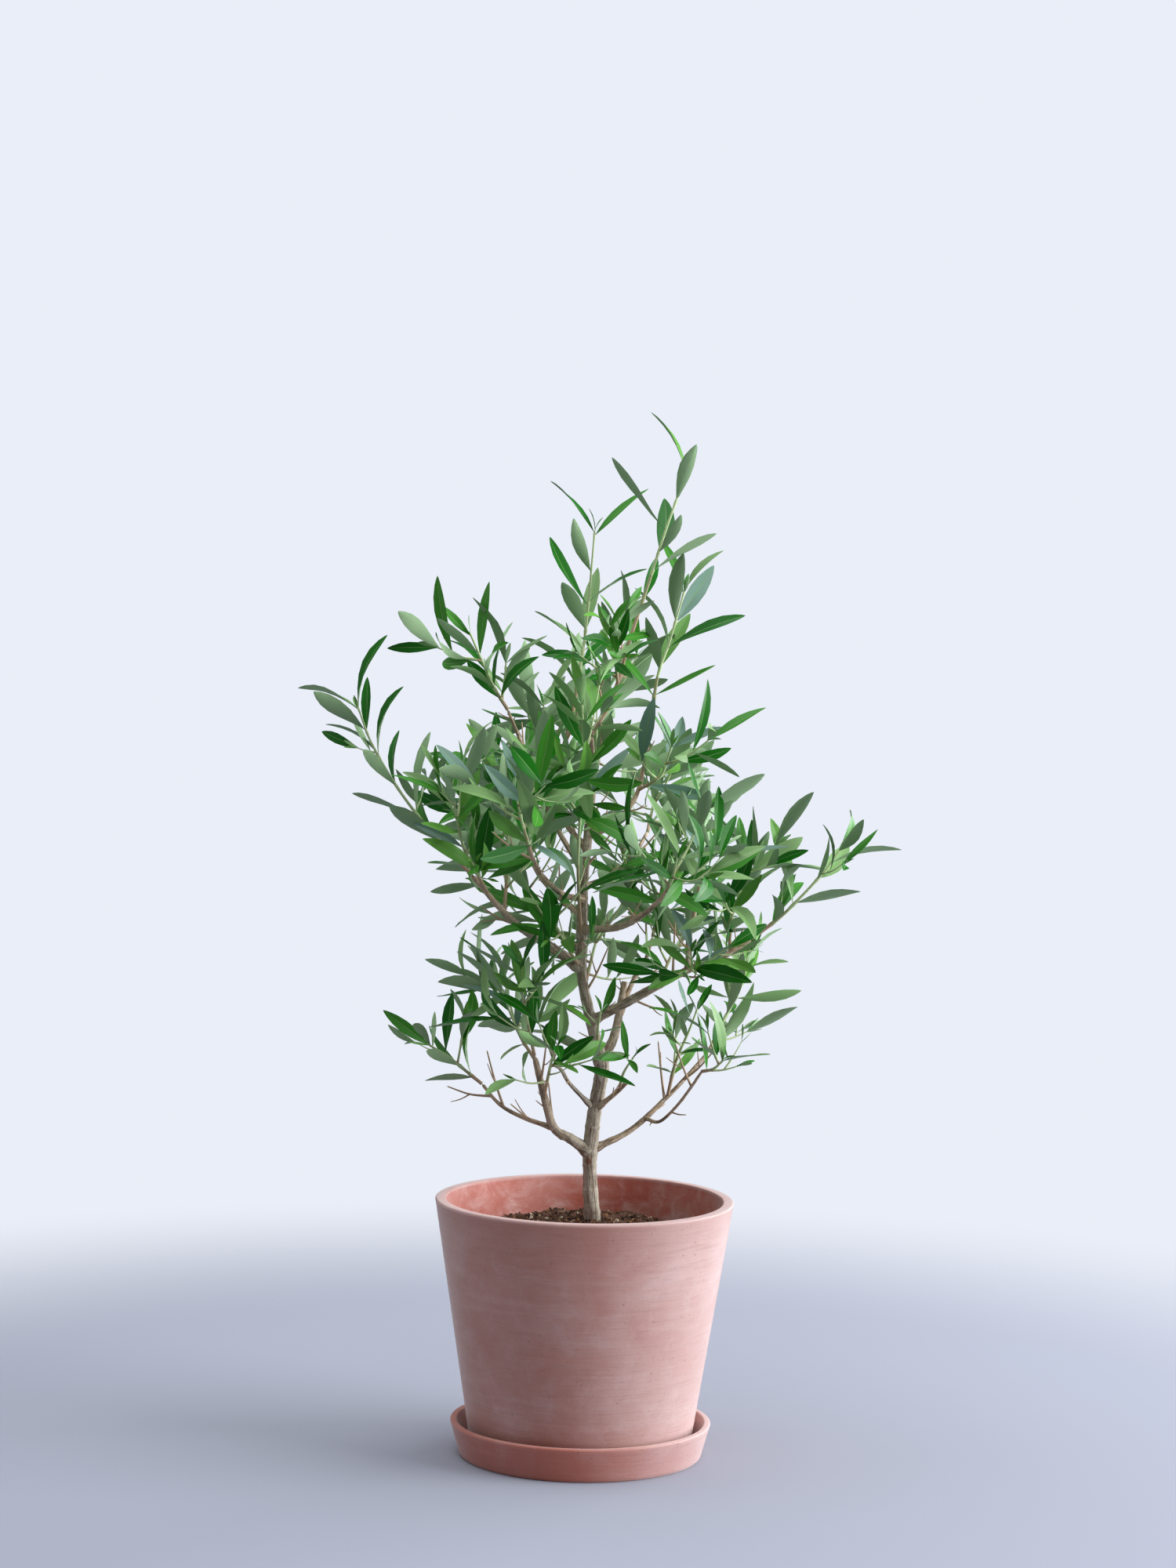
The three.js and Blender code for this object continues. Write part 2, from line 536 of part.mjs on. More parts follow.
// One mass: a stem, side twigs that leave it by the golden angle, and leaves on all of them
function growMass(row, limbs) {
  const [name, carrierName, share, twigCount, twigLength, spacing, size, seed, ...bends] = row;
  const random = randomFrom(seed);
  const foot = footOn(limbs.get(carrierName), share);
  const stem = pathThrough([foot, ...bends.map((bend) => new THREE.Vector3(...bend))]);
  const crossings = crossingsOf(stem);
  const shoots = [makeShoot(stem, STEM_RADIUS, STEM_FIRST_LEAF, spacing, size, random)];
  for (let twig = 0; twig < twigCount; twig++) {
    const place = TWIG_LOWEST + TWIG_SPAN * (twig + random()) / twigCount;
    const roll = seed + twig * GOLDEN_ANGLE + (random() - 0.5) * TWIG_ROLL_SPREAD;
    const open = TWIG_OPEN_LEAST + TWIG_OPEN_SPREAD * random();
    const length = twigLength * (TWIG_LENGTH_LEAST + TWIG_LENGTH_SPREAD * random());
    const along = stem.getTangent(place);
    const [one, two] = crossings(along);
    const heading = along.clone().multiplyScalar(Math.cos(open))
      .addScaledVector(one, Math.sin(open) * Math.cos(roll))
      .addScaledVector(two, Math.sin(open) * Math.sin(roll));
    const start = stem.getPoint(place);
    const path = pathThrough([
      start,
      start.clone().addScaledVector(heading, length * 0.5),
      start.clone().addScaledVector(heading, length).add(new THREE.Vector3(0, 0, length * TWIG_LIFT)),
    ]);
    shoots.push(makeShoot(path, TWIG_RADIUS, TWIG_FIRST_LEAF, spacing, size, random));
  }
  return { name, lines: [leafyPart(shoots[0])], shoots };
}

// Points up a shoot from its lowest leaves to its tip
function leafyPart({ path, first }) {
  const steps = Array.from({ length: SHOOT_LINE_STEPS + 1 }, (_, i) => i / SHOOT_LINE_STEPS);
  return steps.map((step) => path.getPoint(first + (1 - first) * step));
}

// A mass keeps to the space that is nearer to its own shoots than to any other's
function isInOwnSpace(point, mass, masses) {
  const distanceTo = ({ lines }) => Math.min(...lines.map((line) => distanceToPath(point, line)));
  const own = distanceTo(mass) + SPACE_MARGIN;
  return masses.every((other) => other === mass || own < distanceTo(other));
}

// Drops the twigs that would leave the space round their stem, and then counts the rest as shoots
function trimTwigs(masses, limbs) {
  for (const mass of masses) {
    const isFree = (point) => isInOwnSpace(point, mass, masses) && isClearOfLimbs(point, limbs);
    mass.shoots = mass.shoots.filter(({ path }, index) => index === 0
      || path.getPoints(SHOOT_LINE_STEPS).slice(1).every(isFree));
  }
  for (const mass of masses) {
    mass.lines = mass.shoots.map(leafyPart);
  }
}

function makeMass(mass, masses, limbs) {
  const isFree = (point) => isInOwnSpace(point, mass, masses) && isClearOfLimbs(point, limbs);
  const solids = [];
  for (const { path, radius, leaves } of mass.shoots) {
    solids.push(bentCylinder(path, (u) => radius * (TWIG_SWELL - TWIG_TAPER * u), TWIG_SIDES, TWIG_STEP));
    solids.push(...leaves.filter((leaf) => leafProbes(leaf).every(isFree)).map(makeLeaf));
  }
  let solid = join(solids);
  for (const limb of limbs.values()) {
    solid = solid.subtract(limb.envelope);
  }
  return largestBody(solid);
}

// Assembly

const FINISHES = {
  saucer: new THREE.MeshStandardMaterial({ color: COLOURS.saucer, roughness: 0.85, metalness: 0 }),
  pot: new THREE.MeshStandardMaterial({ color: COLOURS.pot, roughness: 0.85, metalness: 0 }),
  soil: new THREE.MeshStandardMaterial({ color: COLOURS.soil, roughness: 1, metalness: 0 }),
  bark: new THREE.MeshStandardMaterial({ color: COLOURS.bark, roughness: 0.9, metalness: 0 }),
  leaf: new THREE.MeshStandardMaterial({ color: COLOURS.leaf, roughness: 0.55, metalness: 0 }),
};

function named(name, solid, finish) {
  const mesh = new THREE.Mesh(toGeometry(solid), FINISHES[finish].clone());
  mesh.name = name;
  return mesh;
}

const tree = new THREE.Group();
tree.add(named('saucer', makeSaucer(), 'saucer'));
tree.add(named('pot', makePot(), 'pot'));
tree.add(named('soil', makeSoil(), 'soil'));

const limbs = makeLimbs();
for (const limb of limbs.values()) {
  tree.add(named(limb.name, limb.solid, 'bark'));
}

const masses = MASSES.map((row) => growMass(row, limbs));
trimTwigs(masses, limbs);
for (const mass of masses) {
  tree.add(named(mass.name, makeMass(mass, masses, limbs), 'leaf'));
}

export default tree;
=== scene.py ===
"""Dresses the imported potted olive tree: bark, twigs, leaves, compost, terracotta, and a plain studio.

The growth rule of the crown is the CAD model's own, written again, and is carried on to finer twigs.
Tables and shapes are in millimetres. Blender's pieces are in metres.
"""

import functools
import math

import bpy
import numpy as np
from bpy.props import FloatProperty, FloatVectorProperty, IntProperty, PointerProperty
from mathutils import Matrix, Vector


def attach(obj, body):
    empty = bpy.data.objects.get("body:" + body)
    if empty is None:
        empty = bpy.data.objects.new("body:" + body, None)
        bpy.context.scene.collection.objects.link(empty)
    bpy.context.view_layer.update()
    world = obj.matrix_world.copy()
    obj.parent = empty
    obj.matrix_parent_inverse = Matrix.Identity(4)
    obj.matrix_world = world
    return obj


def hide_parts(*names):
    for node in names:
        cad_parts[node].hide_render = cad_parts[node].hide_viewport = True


bl_info = {
    "name": "Potted Olive Tree",
    "version": (1, 0, 0),
    "blender": (4, 5, 0),
    "location": "View3D > Sidebar > Olive Tree",
    "description": "Builds the visible pieces of a young olive tree in a terracotta pot",
    "category": "Add Mesh",
}

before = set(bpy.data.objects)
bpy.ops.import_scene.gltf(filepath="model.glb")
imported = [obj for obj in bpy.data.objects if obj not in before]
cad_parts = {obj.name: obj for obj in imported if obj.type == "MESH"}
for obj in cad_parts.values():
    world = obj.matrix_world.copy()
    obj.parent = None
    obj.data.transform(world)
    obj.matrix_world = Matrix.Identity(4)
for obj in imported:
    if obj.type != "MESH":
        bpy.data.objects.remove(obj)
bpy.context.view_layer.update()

MM = 0.001
TURN = 2 * math.pi
SEAT_GAP = 0.3
SEEDS = {"saucer": 4, "leaves": 7, "pot": 9, "lost leaves": 11, "compost": 21, "crumbs": 33, "bark": 100}

# Saucer and pot, as in the CAD model. A cove is how far a corner inside is filled, inwards and up
SAUCER_FOOT_RADIUS = 101.9
SAUCER_LIP_RADIUS = 109.3
SAUCER_HEIGHT = 29.3
SAUCER_WALL = 5.6
SAUCER_FLOOR = 5.7
SAUCER_EDGE = 1.5
SAUCER_COVE = (2.0, 3.0)
SAUCER_WOBBLE = 0.25
POT_FOOT = SAUCER_FLOOR + SEAT_GAP
POT_HEIGHT = 210.0
POT_FOOT_RADIUS = 92.4
POT_RIM_RADIUS = 125.0
POT_WALL = 9.0
POT_FLOOR = 9.0
POT_EDGE = 1.4
POT_COVE = (8.0, 6.0)
POT_WOBBLE = 0.35
TURNED_SIDES = 160

# Compost
SOIL_EDGE_HEIGHT = 181.0
SOIL_SEAT_HEIGHT = 198.0
SOIL_SEAT_RADIUS = 13.0
SOIL_LUMP = 2.2
SOIL_CRUMBLE = 0.7
SOIL_GRAIN = 0.28
SOIL_PRESS = 0.2
SOIL_FADE = 14.0

# Shoots and leaves. A pair is a least value and how much a random draw adds to it
STEM_RADIUS = 1.35
TWIG_RADIUS = 0.95
GOLDEN_ANGLE = 2.39996
LEAF_LENGTH = 62.0
LEAF_SLENDERNESS = 4.7
LEAF_ROOT_SINK = 0.9
LEAF_PAIR_STAGGER = 1.7
LEAF_OPEN_LOW = 1.12
LEAF_OPEN_TIP = 0.76
LEAF_OPEN_SPREAD = 0.5
LEAF_ROLL_SPREAD = 0.7
LEAF_TWIST_SPREAD = 1.5
LEAF_LENGTHS = (0.78, 0.4)
LEAF_SLENDERNESSES = (0.85, 0.35)
LEAF_LIFT = 0.14
LEAF_MISSING = 0.1
LEAF_WIDEST = 0.46
LEAF_LIMB_CLEARANCE = 0.9
LEAF_PROBES = (-0.6, -0.3, 0, 0.35, 0.7, 1)
TIP_SHARE = 0.97
TIP_LEAF_SIZE = 0.85
STEM_FIRST_LEAF = 0.22
TWIG_FIRST_LEAF = 0.3
TWIG_LOWEST = 0.12
TWIG_SPAN = 0.7
TWIG_ROLL_SPREAD = 0.6
TWIG_OPENINGS = (0.75, 0.4)
TWIG_LENGTHS = (0.75, 0.5)
TWIG_LIFT = 0.12
TWIG_SWELL = 1.15
TWIG_TAPER = 0.6

# Fine twigs, which thin out above the busy heights of the crown
FINE_TWIG_SEED = 500
FINE_TWIG_STEP = 30
FINE_TWIG_LOWEST = 0.25
FINE_TWIG_SPAN = 0.68
FINE_TWIG_ROLL = 1.3
FINE_TWIG_LENGTHS = (15, 16)
FINE_TWIG_OPENINGS = (0.6, 0.5)
FINE_TWIG_RADIUS = 0.7
FINE_FIRST_LEAF = 0.4
FINE_LEAF_SPACING = 0.8
FINE_LEAF_SIZE = 0.66
BUSY_HEIGHT = (520.0, 680.0)

# Old twigs and spurs without leaves; the longer ones fork half-way
BARE_TWIG_SEED = 900
BARE_TWIG_STEP = 25.0
BARE_TWIG_LOWEST = 0.1
BARE_TWIG_SPAN = 0.85
BARE_TWIG_ROLL_SPREAD = 2
BARE_TWIG_LEAST = 8.0
BARE_TWIG_SPREAD = 36.0
BARE_TWIG_SHORTNESS = 1.6
BARE_TWIG_OPENINGS = (0.55, 0.5)
BARE_TWIG_RADIUS = 0.55
BARE_TWIG_THICKENING = 0.012
FORK_OPENING = 0.75
FORK_ROLL_SPREAD = 7
FORK_LENGTH = 0.45
FORK_RADIUS = 0.6

# Where the crown is bare: the chance that a leaf is left beside the trunk and low in the crown
BARE_CHANCE = 0.25
BARE_REACH = (25.0, 75.0)
OPEN_HEIGHT = (440.0, 560.0)
LOW_CHANCE = 0.72
LOW_HEIGHT = (380.0, 500.0)
STEEPEST_DIP = -0.5
NO_LEAVES = np.empty((0, 15))

# The photograph's camera: distance in front of the pot's axis, height, heading, dip, roll, lens
CAMERA_DISTANCE = 3.0
CAMERA_HEIGHT = 0.74004
CAMERA_HEADING = -0.0014
CAMERA_DIP = 0.0587
CAMERA_ROLL = 0.0200
CAMERA_LENS = 82.902
CAMERA_SENSOR = 36.0

# Each limb: name, its carrier, how far up that it starts, its thickness at even steps, its bends
LIMBS = [
    ("trunk", None, 0, (14.8, 11.7, 12.4, 11.0, 11.3, 10.8),
     (7.2, 0, SOIL_SEAT_HEIGHT - 2), (4, 0, 235), (4, 0, 258), (7, 0, 291), (12, 0, 322), (10, 0, 338)),
    ("left_leader", "trunk", 1, (10.2, 9.0, 8.8, 11.0), (2, -3, 366), (-6, -4, 403), (-7, 0, 433)),
    ("middle_leader", "left_leader", 1, (10.4, 7.6, 6.4, 6.0), (-6, 4, 483), (-1, 4, 557), (-3, 0, 604)),
    ("right_leader", "trunk", 0.93, (8.8, 7.6, 5.4), (22, 10, 352), (30, 18, 397)),
    ("right_leader_branch", "right_leader", 0.7, (4.6, 4.0, 3.4, 2.4),
     (37, 24, 397), (46, 30, 411), (53, 38, 433)),
    ("lower_left_bough", "trunk", 0.38, (9.6, 8.2, 7.0, 6.0, 5.2),
     (-13, -6, 267), (-27, -12, 277), (-35, -20, 303), (-44, -28, 339)),
    ("low_left_branch", "lower_left_bough", 0.49, (4.0, 3.4, 3.0, 2.6),
     (-54, -2, 284), (-73, 6, 293), (-88, 11, 309)),
    ("lower_right_bough", "trunk", 0.39, (6.0, 4.8, 4.0, 3.1, 2.5),
     (38, 12, 273), (68, 22, 300), (87, 28, 320), (102, 34, 337)),
    ("low_right_branch", "lower_right_bough", 0.34, (3.0, 2.7, 2.5, 2.3, 2.1),
     (61, 0, 282), (74, -18, 297), (86, -38, 317), (94, -52, 332)),
    ("left_stub", "trunk", 0.6, (4.2, 3.2, 2.8, 1.9), (-14, -14, 314), (-22, -20, 327), (-30, -26, 332)),
    ("right_stub", "trunk", 0.6, (4.8, 3.9, 3.4), (24, -12, 307), (33, -18, 317)),
    ("mid_right_bough", "left_leader", 0.33, (7.8, 7.2, 7.2, 6.4, 4.7, 3.2),
     (26, -14, 380), (48, -24, 394), (82, -34, 414), (112, -38, 427), (133, -40, 441)),
    ("right_riser", "mid_right_bough", 0.6, (5.6, 4.4, 2.9), (82, -24, 440), (88, -14, 467)),
    ("mid_left_bough", "left_leader", 0.74, (8.6, 7.6, 7.4, 5.4, 3.6),
     (-34, -8, 429), (-56, -14, 443), (-74, -16, 459), (-99, -16, 487)),
    ("front_right_bough", "middle_leader", 0.06, (6.2, 5.6, 4.8, 3.4),
     (22, -36, 448), (42, -76, 462), (56, -104, 478)),
    ("back_left_bough", "middle_leader", 0.14, (5.6, 4.6, 3.8, 2.8),
     (-24, 45, 462), (-42, 85, 476), (-54, 115, 492)),
    ("front_left_bough", "middle_leader", 0.24, (5.4, 4.4, 3.6, 2.8),
     (-23, -42, 475), (-40, -84, 494), (-48, -110, 512)),
    ("back_right_bough", "middle_leader", 0.3, (5.2, 4.4, 3.6, 2.8),
     (17, 46, 484), (36, 90, 498), (48, 120, 516)),
    ("upper_left_bough", "middle_leader", 0.36, (4.8, 4.1, 3.4, 2.8, 2.3),
     (-26, -14, 522), (-43, -26, 555), (-59, -40, 597), (-71, -48, 626)),
    ("upper_left_leader", "middle_leader", 0.46, (5.0, 4.4, 4.0, 3.6, 3.0),
     (-22, 14, 530), (-29, 20, 562), (-26, 24, 589), (-19, 26, 616)),
    ("upper_right_leader", "middle_leader", 0.5, (5.0, 4.6, 4.2, 3.6, 2.9),
     (13, 6, 527), (29, 12, 542), (39, 18, 562), (47, 22, 608)),
    ("top_leader", "middle_leader", 1, (4.8, 4.0, 3.4, 2.8), (11, 2, 628), (20, 2, 652), (26, 0, 678)),
]

# Limbs that end in a saw cut, and limbs that end dry and pointed
CUT_LIMBS = {"right_leader", "right_stub"}
DRY_LIMBS = {"left_stub"}

# Where an old scar sits on the trunk, in metres across and up its bark, the height halved
TRUNK_SCAR = (0.001, 0.0058, 0.0225)

# Each mass of foliage: name, its stem's carrier, how far up that it starts, the number and length
# of its side twigs, the distance between pairs of leaves, the leaf size, its seed, its stem's bends
MASSES = [
    ("top_shoot", "top_leader", 1, 0, 0, 22, 1.04, 3, (44, -4, 736), (55, -8, 773), (72, -4, 824)),
    ("top_inner_spray", "top_leader", 0.62, 3, 30, 13, 0.66, 12, (16, -25, 669), (11, -45, 695)),
    ("upper_right_shoot", "upper_right_leader", 1, 0, 0, 21, 1.0, 5,
     (52, 26, 652), (62, 30, 684), (73, 34, 724)),
    ("upper_left_shoot", "upper_left_leader", 1, 0, 0, 21, 1.04, 39,
     (-13, 30, 657), (-8, 34, 700), (-3, 30, 772)),
    ("left_upper_shoot", "upper_left_bough", 1, 2, 34, 16, 0.9, 4, (-84, -60, 648), (-102, -70, 688)),
    ("upper_left_spray", "upper_left_leader", 0.6, 3, 42, 17, 0.95, 6, (-44, 46, 600), (-62, 70, 628)),
    ("left_long_shoot", "mid_left_bough", 1, 0, 0, 25, 1.08, 8,
     (-130, -14, 518), (-160, -10, 555), (-184, -4, 593), (-196, 0, 622)),
    ("left_shoot", "mid_left_bough", 0.86, 2, 40, 17, 0.95, 2,
     (-104, -34, 508), (-111, -50, 536), (-115, -58, 560)),
    ("left_inner_spray", "mid_left_bough", 0.72, 4, 42, 18, 0.95, 9,
     (-70, 0, 500), (-72, 18, 540), (-74, 26, 564)),
    ("front_shoot", "left_leader", 0.98, 3, 42, 19, 0.95, 15,
     (-11, -28, 494), (-10, -40, 540), (-10, -44, 560)),
    ("front_low_spray", "left_leader", 0.72, 4, 42, 18, 0.95, 34, (-24, -34, 440), (-34, -60, 464)),
    ("back_low_spray", "left_leader", 0.56, 4, 46, 17, 0.9, 35, (4, 36, 424), (12, 64, 444)),
    ("mid_left_spray", "left_leader", 0.93, 4, 46, 19, 0.95, 11,
     (-25, 16, 435), (-40, 38, 450), (-56, 66, 474), (-70, 92, 504), (-78, 104, 528)),
    ("back_left_spray", "back_left_bough", 1, 4, 52, 19, 0.95, 13, (-68, 138, 524), (-78, 154, 554)),
    ("front_left_spray", "front_left_bough", 1, 4, 50, 20, 0.95, 14, (-56, -128, 540), (-62, -142, 566)),
    ("front_right_spray", "front_right_bough", 1, 4, 50, 20, 0.95, 10, (64, -124, 494), (68, -138, 514)),
    ("back_right_spray", "back_right_bough", 1, 4, 50, 20, 0.95, 16, (52, 140, 534), (58, 156, 556)),
    ("right_inner_spray", "upper_right_leader", 0.72, 3, 40, 18, 0.92, 17, (56, 0, 572), (64, -12, 596)),
    ("right_riser_shoot", "right_riser", 1, 1, 36, 20, 0.9, 18, (92, -8, 504), (90, 0, 536)),
    ("right_end_shoot", "mid_right_bough", 1, 0, 0, 22, 1.05, 42,
     (160, -46, 464), (190, -52, 498), (202, -54, 516)),
    ("right_upper_shoot", "mid_right_bough", 0.83, 2, 36, 18, 0.95, 20,
     (115, -50, 456), (124, -60, 488), (128, -64, 504)),
    ("right_front_spray", "mid_right_bough", 0.6, 2, 38, 17, 0.9, 21, (84, -58, 418), (82, -86, 434)),
    ("right_back_spray", "mid_right_bough", 0.46, 3, 42, 17, 0.92, 38, (70, -4, 426), (84, 24, 446)),
    ("right_low_shoot", "lower_right_bough", 1, 2, 38, 18, 0.98, 22,
     (114, 50, 360), (128, 62, 386), (134, 68, 404)),
    ("low_right_spray", "low_right_branch", 1, 2, 30, 15, 0.85, 23, (103, -64, 336), (110, -74, 344)),
    ("low_right_twig", "lower_right_bough", 0.5, 1, 30, 18, 0.62, 24,
     (74, 5, 332), (84, -5, 359), (90, -10, 377)),
    ("low_left_spray", "lower_left_bough", 1, 2, 36, 16, 0.94, 25, (-52, -34, 376), (-58, -38, 408)),
    ("low_left_inner_spray", "lower_left_bough", 0.76, 3, 34, 17, 0.85, 26,
     (-30, -54, 336), (-25, -78, 354)),
    ("low_left_outer_spray", "lower_left_bough", 0.97, 3, 36, 17, 0.9, 27,
     (-58, 14, 352), (-66, 50, 370), (-72, 72, 390)),
    ("far_low_left_spray", "low_left_branch", 1, 1, 26, 14, 0.8, 28,
     (-101, 12, 319), (-117, 10, 332), (-132, 8, 341)),
    ("trunk_shoot", "left_leader", 0.06, 0, 0, 12, 0.62, 30, (8, -26, 362), (10, -42, 378)),
    ("stub_shoot", "right_stub", 0.64, 0, 0, 12, 0.8, 31, (30, -28, 326), (38, -44, 342)),
    ("inner_twigs", "right_leader_branch", 1, 4, 42, 17, 0.82, 32, (58, 52, 462), (62, 62, 486)),
    ("upper_front_spray", "middle_leader", 0.55, 3, 42, 18, 0.9, 37,
     (-2, -36, 556), (-7, -78, 590), (-10, -98, 632)),
    ("upper_back_spray", "middle_leader", 0.68, 4, 44, 19, 0.95, 33,
     (4, 40, 580), (9, 84, 612), (12, 104, 654)),
]
MASS_NAMES = [row[0] for row in MASSES]


# Meshes

class Shape:
    """Surfaces gathered for one piece: corners in millimetres, faces, and a finish for each face."""

    def __init__(self):
        self.corners = []
        self.faces = []
        self.finishes = []
        self.total = 0

    def add(self, corners, face_groups, finishes=None):
        """Adds corners and groups of faces, where one group holds faces of one number of sides."""
        corners = np.asarray(corners, float).reshape(-1, 3)
        self.corners.append(corners)
        for place, faces in enumerate(face_groups):
            finish = 0 if finishes is None else finishes[place]
            self.faces.append(faces + self.total)
            self.finishes.append(np.broadcast_to(finish, len(faces)))
        self.total += len(corners)


def add_object(name, data):
    """Puts an object with its mesh, camera or light into the scene."""
    made = bpy.data.objects.new(name, data)
    bpy.context.scene.collection.objects.link(made)
    return made


def make_piece(name, shape, finishes, nodes, smooth=True, attributes=None, is_rim=None):
    """Puts a shape into a mesh object that rides on the plant and stands for CAD nodes.

    An edge between two corners on a rim is shaded sharp."""
    corners = np.concatenate(shape.corners) * MM
    sizes = np.concatenate([np.full(len(faces), faces.shape[1]) for faces in shape.faces])
    mesh = bpy.data.meshes.new(name)
    mesh.vertices.add(len(corners))
    mesh.vertices.foreach_set("co", corners.astype(np.float32).ravel())
    loops = np.concatenate([faces.ravel() for faces in shape.faces]).astype(np.int32)
    mesh.loops.add(len(loops))
    mesh.loops.foreach_set("vertex_index", loops)
    mesh.polygons.add(len(sizes))
    starts = np.concatenate([[0], np.cumsum(sizes)[:-1]]).astype(np.int32)
    mesh.polygons.foreach_set("loop_start", starts)
    finish = np.concatenate(shape.finishes).astype(np.int32)
    mesh.polygons.foreach_set("material_index", finish)
    mesh.polygons.foreach_set("use_smooth", np.full(len(sizes), smooth))
    for label, (kind, values) in (attributes or {}).items():
        store = mesh.attributes.new(label, kind, "POINT")
        key = "vector" if kind == "FLOAT_VECTOR" else "value"
        store.data.foreach_set(key, np.asarray(values, np.float32).ravel())
    mesh.update(calc_edges=True)
    if is_rim is not None:
        ends = np.empty(len(mesh.edges) * 2, np.int32)
        mesh.edges.foreach_get("vertices", ends)
        mesh.edges.foreach_set("use_edge_sharp", is_rim[ends.reshape(-1, 2)].all(axis=1))
    if mesh.validate():
        raise RuntimeError(f"the surfaces of {name} have faulty faces")
    for material in finishes:
        mesh.materials.append(material)
    piece = add_object(name, mesh)
    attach(piece, "root")
    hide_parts(*nodes)


@functools.lru_cache(maxsize=None)
def closed_tube_faces(rows, columns):
    """Faces of rows of corners, each row a closed ring, with one more corner before and after them."""
    row, column = np.meshgrid(np.arange(rows - 1), np.arange(columns), indexing="ij")
    after = (column + 1) % columns
    quads = np.stack([row * columns + column, row * columns + after,
                      (row + 1) * columns + after, (row + 1) * columns + column], axis=-1)
    ring = np.arange(columns)
    ring_after = (ring + 1) % columns
    start = np.stack([np.zeros(columns, int), 1 + ring_after, 1 + ring], axis=-1)
    last = 1 + (rows - 1) * columns
    end = np.stack([last + ring, last + ring_after, np.full(columns, last + columns)], axis=-1)
    return quads.reshape(-1, 4) + 1, np.concatenate([start, end])


def ring_angles(sides):
    """The angles of the corners of a ring."""
    return np.arange(sides)[None, :] * TURN / sides


def turned_rings(radius, height, angle):
    """Corners at a radius, a height and an angle round the axis: (r cos a, r sin a, z)."""
    return np.stack([radius * np.cos(angle), radius * np.sin(angle), height], axis=-1)


def turned_surface(outline, sides, wobble):
    """An outline of radius and height, made uneven by a function and turned round the axis.

    The outline runs from the axis underneath, round the outside, to the axis on top."""
    angle = ring_angles(sides)
    radius, height = (np.tile(each[:, None], sides) for each in np.asarray(outline[1:-1], float).T)
    rings = turned_rings(*wobble(radius, height, angle), angle)
    start = [[0, 0, outline[0][1]]]
    end = [[0, 0, outline[-1][1]]]
    return np.concatenate([start, rings.reshape(-1, 3), end]), closed_tube_faces(len(radius), sides)


def tube_surface(frames, reach, angle, start_by, end_by):
    """Rings round a path, p + r (cos a f + sin a s), closed by a corner on the path's line at each end.

    The frames are the path's points p, its directions, and the directions f and s across it."""
    place, along, first, second = frames
    rings = place[:, None] + (reach * np.cos(angle))[..., None] * first[:, None]
    rings = rings + (reach * np.sin(angle))[..., None] * second[:, None]
    start = place[0] + along[0] * start_by
    end = place[-1] + along[-1] * end_by
    return np.concatenate([[start], rings.reshape(-1, 3), [end]]), closed_tube_faces(*rings.shape[:2])


def arc_points(centre, radius, start, end, count):
    """Points on an arc in the radius and height plane, with angles in degrees."""
    angle = np.radians(np.linspace(start, end, count))
    return [(centre[0] + radius * math.cos(a), centre[1] + radius * math.sin(a)) for a in angle]


def line_points(start, end, count):
    """Points at even steps from start to end, without the end."""
    return [tuple(point) for point in np.linspace(start, end, count, endpoint=False)]


# Growth

# The CAD model's repeatable random numbers
SEED_STEP = 7919
SEED_SHIFT = 17
DRAW_FACTOR = 48271
DRAW_MODULUS = 2147483647

PATH_NUDGE = 1e-4
PATH_SAMPLES = 201
LIMB_SAMPLES = 12
NEARLY_ALONG_Y = 0.9


def smooth_step(value, low, high):
    """0 below low, 1 above high, and 3t^2 - 2t^3 between them."""
    share = np.clip((value - low) / (high - low), 0, 1)
    return share * share * (3 - 2 * share)


def unit(vectors):
    """One vector or many, each made one long."""
    return vectors / np.linalg.norm(vectors, axis=-1, keepdims=True)


def turn_about(vector, axis, angle):
    """A vector turned about an axis across it."""
    return vector * math.cos(angle) + np.cross(axis, vector) * math.sin(angle)


def random_from(seed):
    """The CAD model's repeatable random numbers from 0 to 1."""
    state = seed * SEED_STEP + SEED_SHIFT

    def draw():
        nonlocal state
        state = (state * DRAW_FACTOR) % DRAW_MODULUS
        return state / DRAW_MODULUS

    return draw


def drawn(span, random):
    """A least value and what the next random number adds to it."""
    return span[0] + span[1] * random()


class Path:
    """A uniform Catmull-Rom spline through points, as the CAD model bends its limbs and stems."""

    def __init__(self, points):
        self.points = np.asarray(points, float)
        before = 2 * self.points[0] - self.points[1]
        beyond = 2 * self.points[-1] - self.points[-2]
        self.knots = np.vstack([before, self.points, beyond])

    def at(self, share):
        share = np.asarray(share, float)
        place = np.atleast_1d(share) * (len(self.points) - 1)
        span = np.clip(np.floor(place).astype(int), 0, len(self.points) - 2)
        t = (place - span)[:, None]
        a, b, c, d = (self.knots[span + i] for i in range(4))
        leave, arrive = (c - a) / 2, (d - b) / 2
        found = b + leave * t + (3 * c - 3 * b - 2 * leave - arrive) * t**2
        found = found + (2 * b - 2 * c + leave + arrive) * t**3
        return found if share.ndim else found[0]

    def length(self):
        points = self.at(np.linspace(0, 1, PATH_SAMPLES))
        return np.linalg.norm(np.diff(points, axis=0), axis=1).sum()

    def frames(self, shares):
        """Points, directions, and two directions across, at one share of the way or at many."""
        chord = unit(self.at(1) - self.at(0))
        away = (1, 0, 0) if abs(chord[1]) > NEARLY_ALONG_Y else (0, 1, 0)
        across = unit(np.cross(chord, away))
        before, after = np.maximum(0, shares - PATH_NUDGE), np.minimum(1, shares + PATH_NUDGE)
        along = unit(self.at(after) - self.at(before))
        first = unit(across - along * (along @ across)[..., None])
        return self.at(shares), along, first, np.cross(along, first)


